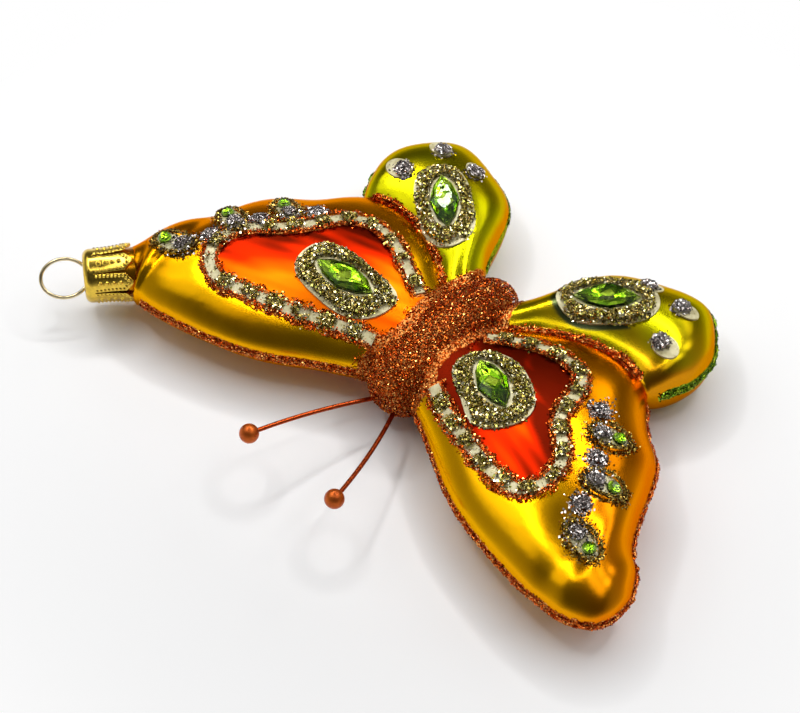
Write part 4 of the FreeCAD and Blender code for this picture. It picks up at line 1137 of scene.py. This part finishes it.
GLITTER = {"copper": COPPER, "gold": GOLD, "green": GREEN, "bronze": BRONZE, "silver": SILVER}
BEDS = {kind: bed(kind + "_bed", colours) for kind, colours in GLITTER.items()}
ENAMEL = enamel()
STONE = stone()
CAP_BRASS = brass("cap_brass", (0.78, 0.53, 0.07), 0.16)
WIRE_BRASS = brass("wire_brass", (0.72, 0.60, 0.36), 0.16)
RUST_WIRE = brass("rust_wire", (0.40, 0.06, 0.012), 0.22)
BEAD = satin_bead()
# Neck glass: darker brown than the wings, partly painted shade so that the cap's slits and rim read dark.
SHADED_NECK = Shade("neck_lacquer_and_painted_shade").set(Base_Color=(0.50, 0.20, 0.004, 1), Metallic=1.0, Roughness=0.25).material

FINISHES = {
    "crown_cap": CAP_BRASS,
    "hanger_loop": WIRE_BRASS,
    "antenna_wire": RUST_WIRE,
    "antenna_bead": BEAD,
    "navette": STONE,
    "chaton": STONE,
    "band_enamel": ENAMEL,
    "spot_enamel": ENAMEL,
    "stone_pad": ENAMEL,
    "band_copper": BEDS["copper"],
    "seam_copper": BEDS["copper"],
    "groove_glitter": BEDS["copper"],
    "body_glitter": BEDS["copper"],
    "band_gold": BEDS["gold"],
    "stone_glitter": BEDS["gold"],
    "spot_rings": BEDS["bronze"],
    "seam_green": BEDS["green"],
    "silver_dots": BEDS["silver"],
    "glass_neck": SHADED_NECK,
}


def finish_nodes():
    for name, node in NODES.items():
        for start, material in FINISHES.items():
            if name.startswith(start):
                node.data.materials.clear()
                node.data.materials.append(material)


finish_nodes()

FLAKES = {kind: flakes(kind + "_flakes", colours) for kind, colours in GLITTER.items()}

# Coat, number and radius of its flakes, their glitter, how far they stray and sink, and their tilt.
PILES = [("body_glitter", 24000, 0.15, "copper", 0.4, 0.5, 0.6)]
for side in SIDES:
    PILES += [
        ("band_copper_inner_" + side, 4500, 0.18, "copper", 0.5, 0.3, 0.7),
        ("band_copper_outer_" + side, 5500, 0.18, "copper", 0.5, 0.3, 0.7),
        ("seam_copper_" + side, 7000, 0.17, "copper", 0.4, 0.2, 0.6),
        ("groove_glitter_" + side, 3000, 0.16, "copper", 0.4, 0.5, 0.6),
        ("seam_green_" + side, 5000, 0.17, "green", 0.4, 0.2, 0.6),
        ("band_gold_clumps_" + side, 8000, 0.26, "gold", 0.65, 0.3, 0.8),
        ("stone_glitter_fore_" + side, 2800, 0.25, "gold", 0.4, 0.3, 0.8),
        ("stone_glitter_hind_" + side, 2800, 0.25, "gold", 0.4, 0.3, 0.8),
        ("spot_rings_" + side, 5000, 0.17, "bronze", 0.9, 0.3, 0.7),
        ("silver_dots_fore_" + side, 4600, 0.25, "silver", 1.15, 0.3, 0.8),
        ("silver_dots_hind_" + side, 2200, 0.25, "silver", 0.6, 0.3, 0.8),
    ]
RAISED = raised_tree()
for node, count, radius, kind, aside, deep, tilt in PILES:
    ground = RAISED
    if node.startswith("seam"):
        belt = worn_belt(node, SKIN_TREE, BEDS[kind])
        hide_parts(node)
        ground = BVHTree.FromPolygons([v.co for v in belt.data.vertices],
                                      [p.vertices for p in belt.data.polygons])
    loose = pile(node, count, radius, FLAKES[kind], SKIN_TREE, ground, aside, deep, tilt)
    if not node.startswith("seam"):
        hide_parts(node)
for side in SIDES:
    for wing in ("fore_", "hind_"):
        strewn = pad_pile("stone_pad_" + wing + side, "navette_" + wing + side, 5500, 0.25, FLAKES["gold"],
                          SKIN_TREE, RAISED)
# The spill's flakes are a darker copy of the copper ones: painted shade.
SHADED_SPILL_FLAKES = flakes("spill_flakes_painted_shade", [tuple(SPILL_SHADE_SHARE * part for part in colour) for colour in COPPER])
spill(SKIN, 17000, 0.15, SHADED_SPILL_FLAKES, SKIN_TREE, RAISED)

FOIL = foil()
for name in NODES:
    if name.startswith(("navette", "chaton")):
        foil_back(name, SKIN_TREE, FOIL)


collar(SHADED_NECK)
CAP = crown_cap(CAP_BRASS)
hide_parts("crown_cap")
HANGER = hanger(WIRE_BRASS)
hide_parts("hanger_loop")


# Stage, light and camera

def floor_paper():
    """Pale paper that takes the shadow, and turns to plain white away from the object."""
    shade = Shade("floor_paper").set(Base_Color=(0.96, 0.96, 0.965, 1), Roughness=0.9)
    reach = shade.node("VectorMath", operation="LENGTH")
    shade.feed(reach.inputs[0], shade.place())
    away = shade.spread(reach.outputs["Value"], *PAPER_FADE, 0.0, 1.0)
    rays = shade.node("LightPath").outputs
    mirrored = shade.sums("MAXIMUM", rays["Is Glossy Ray"], rays["Is Transmission Ray"])
    seen = shade.sums("MAXIMUM", rays["Is Camera Ray"], mirrored)
    white = shade.node("Emission")
    shade.feed(white.inputs["Color"], (1.0, 1.0, 1.0, 1))
    blend = shade.node("MixShader")
    shade.feed(blend.inputs[0], shade.sums("MULTIPLY", seen, away))
    shade.feed(blend.inputs[1], shade.shader.outputs[0])
    shade.feed(blend.inputs[2], white.outputs[0])
    shade.feed(shade.tree.nodes["Material Output"].inputs["Surface"], blend.outputs[0])
    return shade.material


def add_floor():
    corners = [(x * FLOOR_REACH, y * FLOOR_REACH, 0) for x, y in ((-1, -1), (1, -1), (1, 1), (-1, 1))]
    floor = make_mesh("floor", corners, [(0, 1, 2, 3)], floor_paper())
    floor.location.z = -FLOOR_DROP * MM


def add_lamp(place, facing, size, power):
    """A round lamp that shines back along its facing direction."""
    lamp = bpy.data.lights.new("box_lamp", "AREA")
    lamp.shape = "DISK"
    lamp.size = size
    lamp.energy = power
    made = add_object("box_lamp", lamp)
    made.location = place
    made.rotation_mode = "QUATERNION"
    made.rotation_quaternion = facing.to_track_quat("Z", "Y")


def add_ring_light():
    """A ring of lamps overhead, leaning to the back of the picture, with larger ones on either side."""
    facing = bearing_vector(CAMERA_BEARING + 180, 90 - RING_LEAN)
    across = bearing_vector(CAMERA_BEARING + 90, 0)
    along = facing.cross(across)

    def ring_place(angle, radius):
        return facing * RING_DISTANCE + (across * math.cos(angle) + along * math.sin(angle)) * radius

    for index in range(RING_LAMPS):
        angle = 2 * math.pi * index / RING_LAMPS
        share = (1 + RING_BACK_BIAS * math.sin(angle)) / RING_LAMPS
        add_lamp(ring_place(angle, RING_RADIUS), facing, RING_LAMP_SIZE, RING_POWER * share)
    for angle, radius, size, power in ARC_LAMPS:
        place = ring_place(math.radians(angle), radius)
        add_lamp(place, place.normalized(), size, power)


def room_level(tree, place):
    """Light by the height of the view: pale at the horizon, dim overhead."""
    parts = tree.nodes.new("ShaderNodeSeparateXYZ")
    tree.links.new(place, parts.inputs[0])
    height = tree.nodes.new("ShaderNodeValToRGB")
    band = height.color_ramp.elements
    while len(band) < len(ROOM_LEVELS):
        band.new(0.5)
    for element, (rise, level) in zip(band, ROOM_LEVELS):
        element.position = rise
        element.color = (level, level, level, 1)
    tree.links.new(parts.outputs["Z"], height.inputs["Fac"])
    return height.outputs["Color"]


def wall_level(tree, place):
    """Light of the two side walls."""
    aside = tree.nodes.new("ShaderNodeVectorMath")
    aside.operation = "DOT_PRODUCT"
    aside.inputs[1].default_value = bearing_vector(CAMERA_BEARING + 90, 0)
    tree.links.new(place, aside.inputs[0])
    either = tree.nodes.new("ShaderNodeMath")
    either.operation = "ABSOLUTE"
    tree.links.new(aside.outputs["Value"], either.inputs[0])
    walls = tree.nodes.new("ShaderNodeMapRange")
    walls.interpolation_type = "SMOOTHSTEP"
    for socket, number in zip(walls.inputs[1:5], (*WALL_SPAN, 0.0, WALL_LEVEL)):
        socket.default_value = number
    tree.links.new(either.outputs[0], walls.inputs[0])
    return walls.outputs["Result"]


def add_world():
    """A light box: pale at the horizon and on the two side walls, dim overhead, in front and behind."""
    world = bpy.data.worlds.new("light_box")
    world.use_nodes = True
    bpy.context.scene.world = world
    tree = world.node_tree
    place = tree.nodes.new("ShaderNodeTexCoord").outputs["Generated"]
    total = tree.nodes.new("ShaderNodeMath")
    total.operation = "ADD"
    tree.links.new(room_level(tree, place), total.inputs[0])
    tree.links.new(wall_level(tree, place), total.inputs[1])
    background = tree.nodes["Background"]
    background.inputs["Color"].default_value = (1.0, 1.0, 1.0, 1)
    tree.links.new(total.outputs["Value"], background.inputs["Strength"])


def add_camera():
    """The photograph's view: the wing frame's origin lies off the picture's middle by CAMERA_ASIDE."""
    turn, roll = (math.radians(a) for a in (CAMERA_BEARING, CAMERA_ROLL))
    back = bearing_vector(CAMERA_BEARING, CAMERA_HEIGHT)
    level = Vector((math.cos(turn), math.sin(turn), 0))
    upright = level.cross(back) * -1
    right = level * math.cos(roll) + upright * math.sin(roll)
    up = upright * math.cos(roll) - level * math.sin(roll)
    data = bpy.data.cameras.new("camera")
    data.lens = CAMERA_LENS
    data.sensor_width = CAMERA_SENSOR
    data.sensor_fit = "HORIZONTAL"
    camera = add_object("camera", data)
    place = right * -CAMERA_ASIDE[0] + up * -CAMERA_ASIDE[1] + back * CAMERA_DISTANCE + Vector(WING_ORIGIN)
    turned = Matrix((right, up, back)).transposed().to_4x4()
    camera.matrix_world = Matrix.Translation(place * MM) @ turned
    data.clip_start, data.clip_end = CAMERA_CLIP
    bpy.context.scene.camera = camera


add_floor()
add_ring_light()
add_world()
add_camera()
bpy.context.scene.view_settings.view_transform = "Standard"
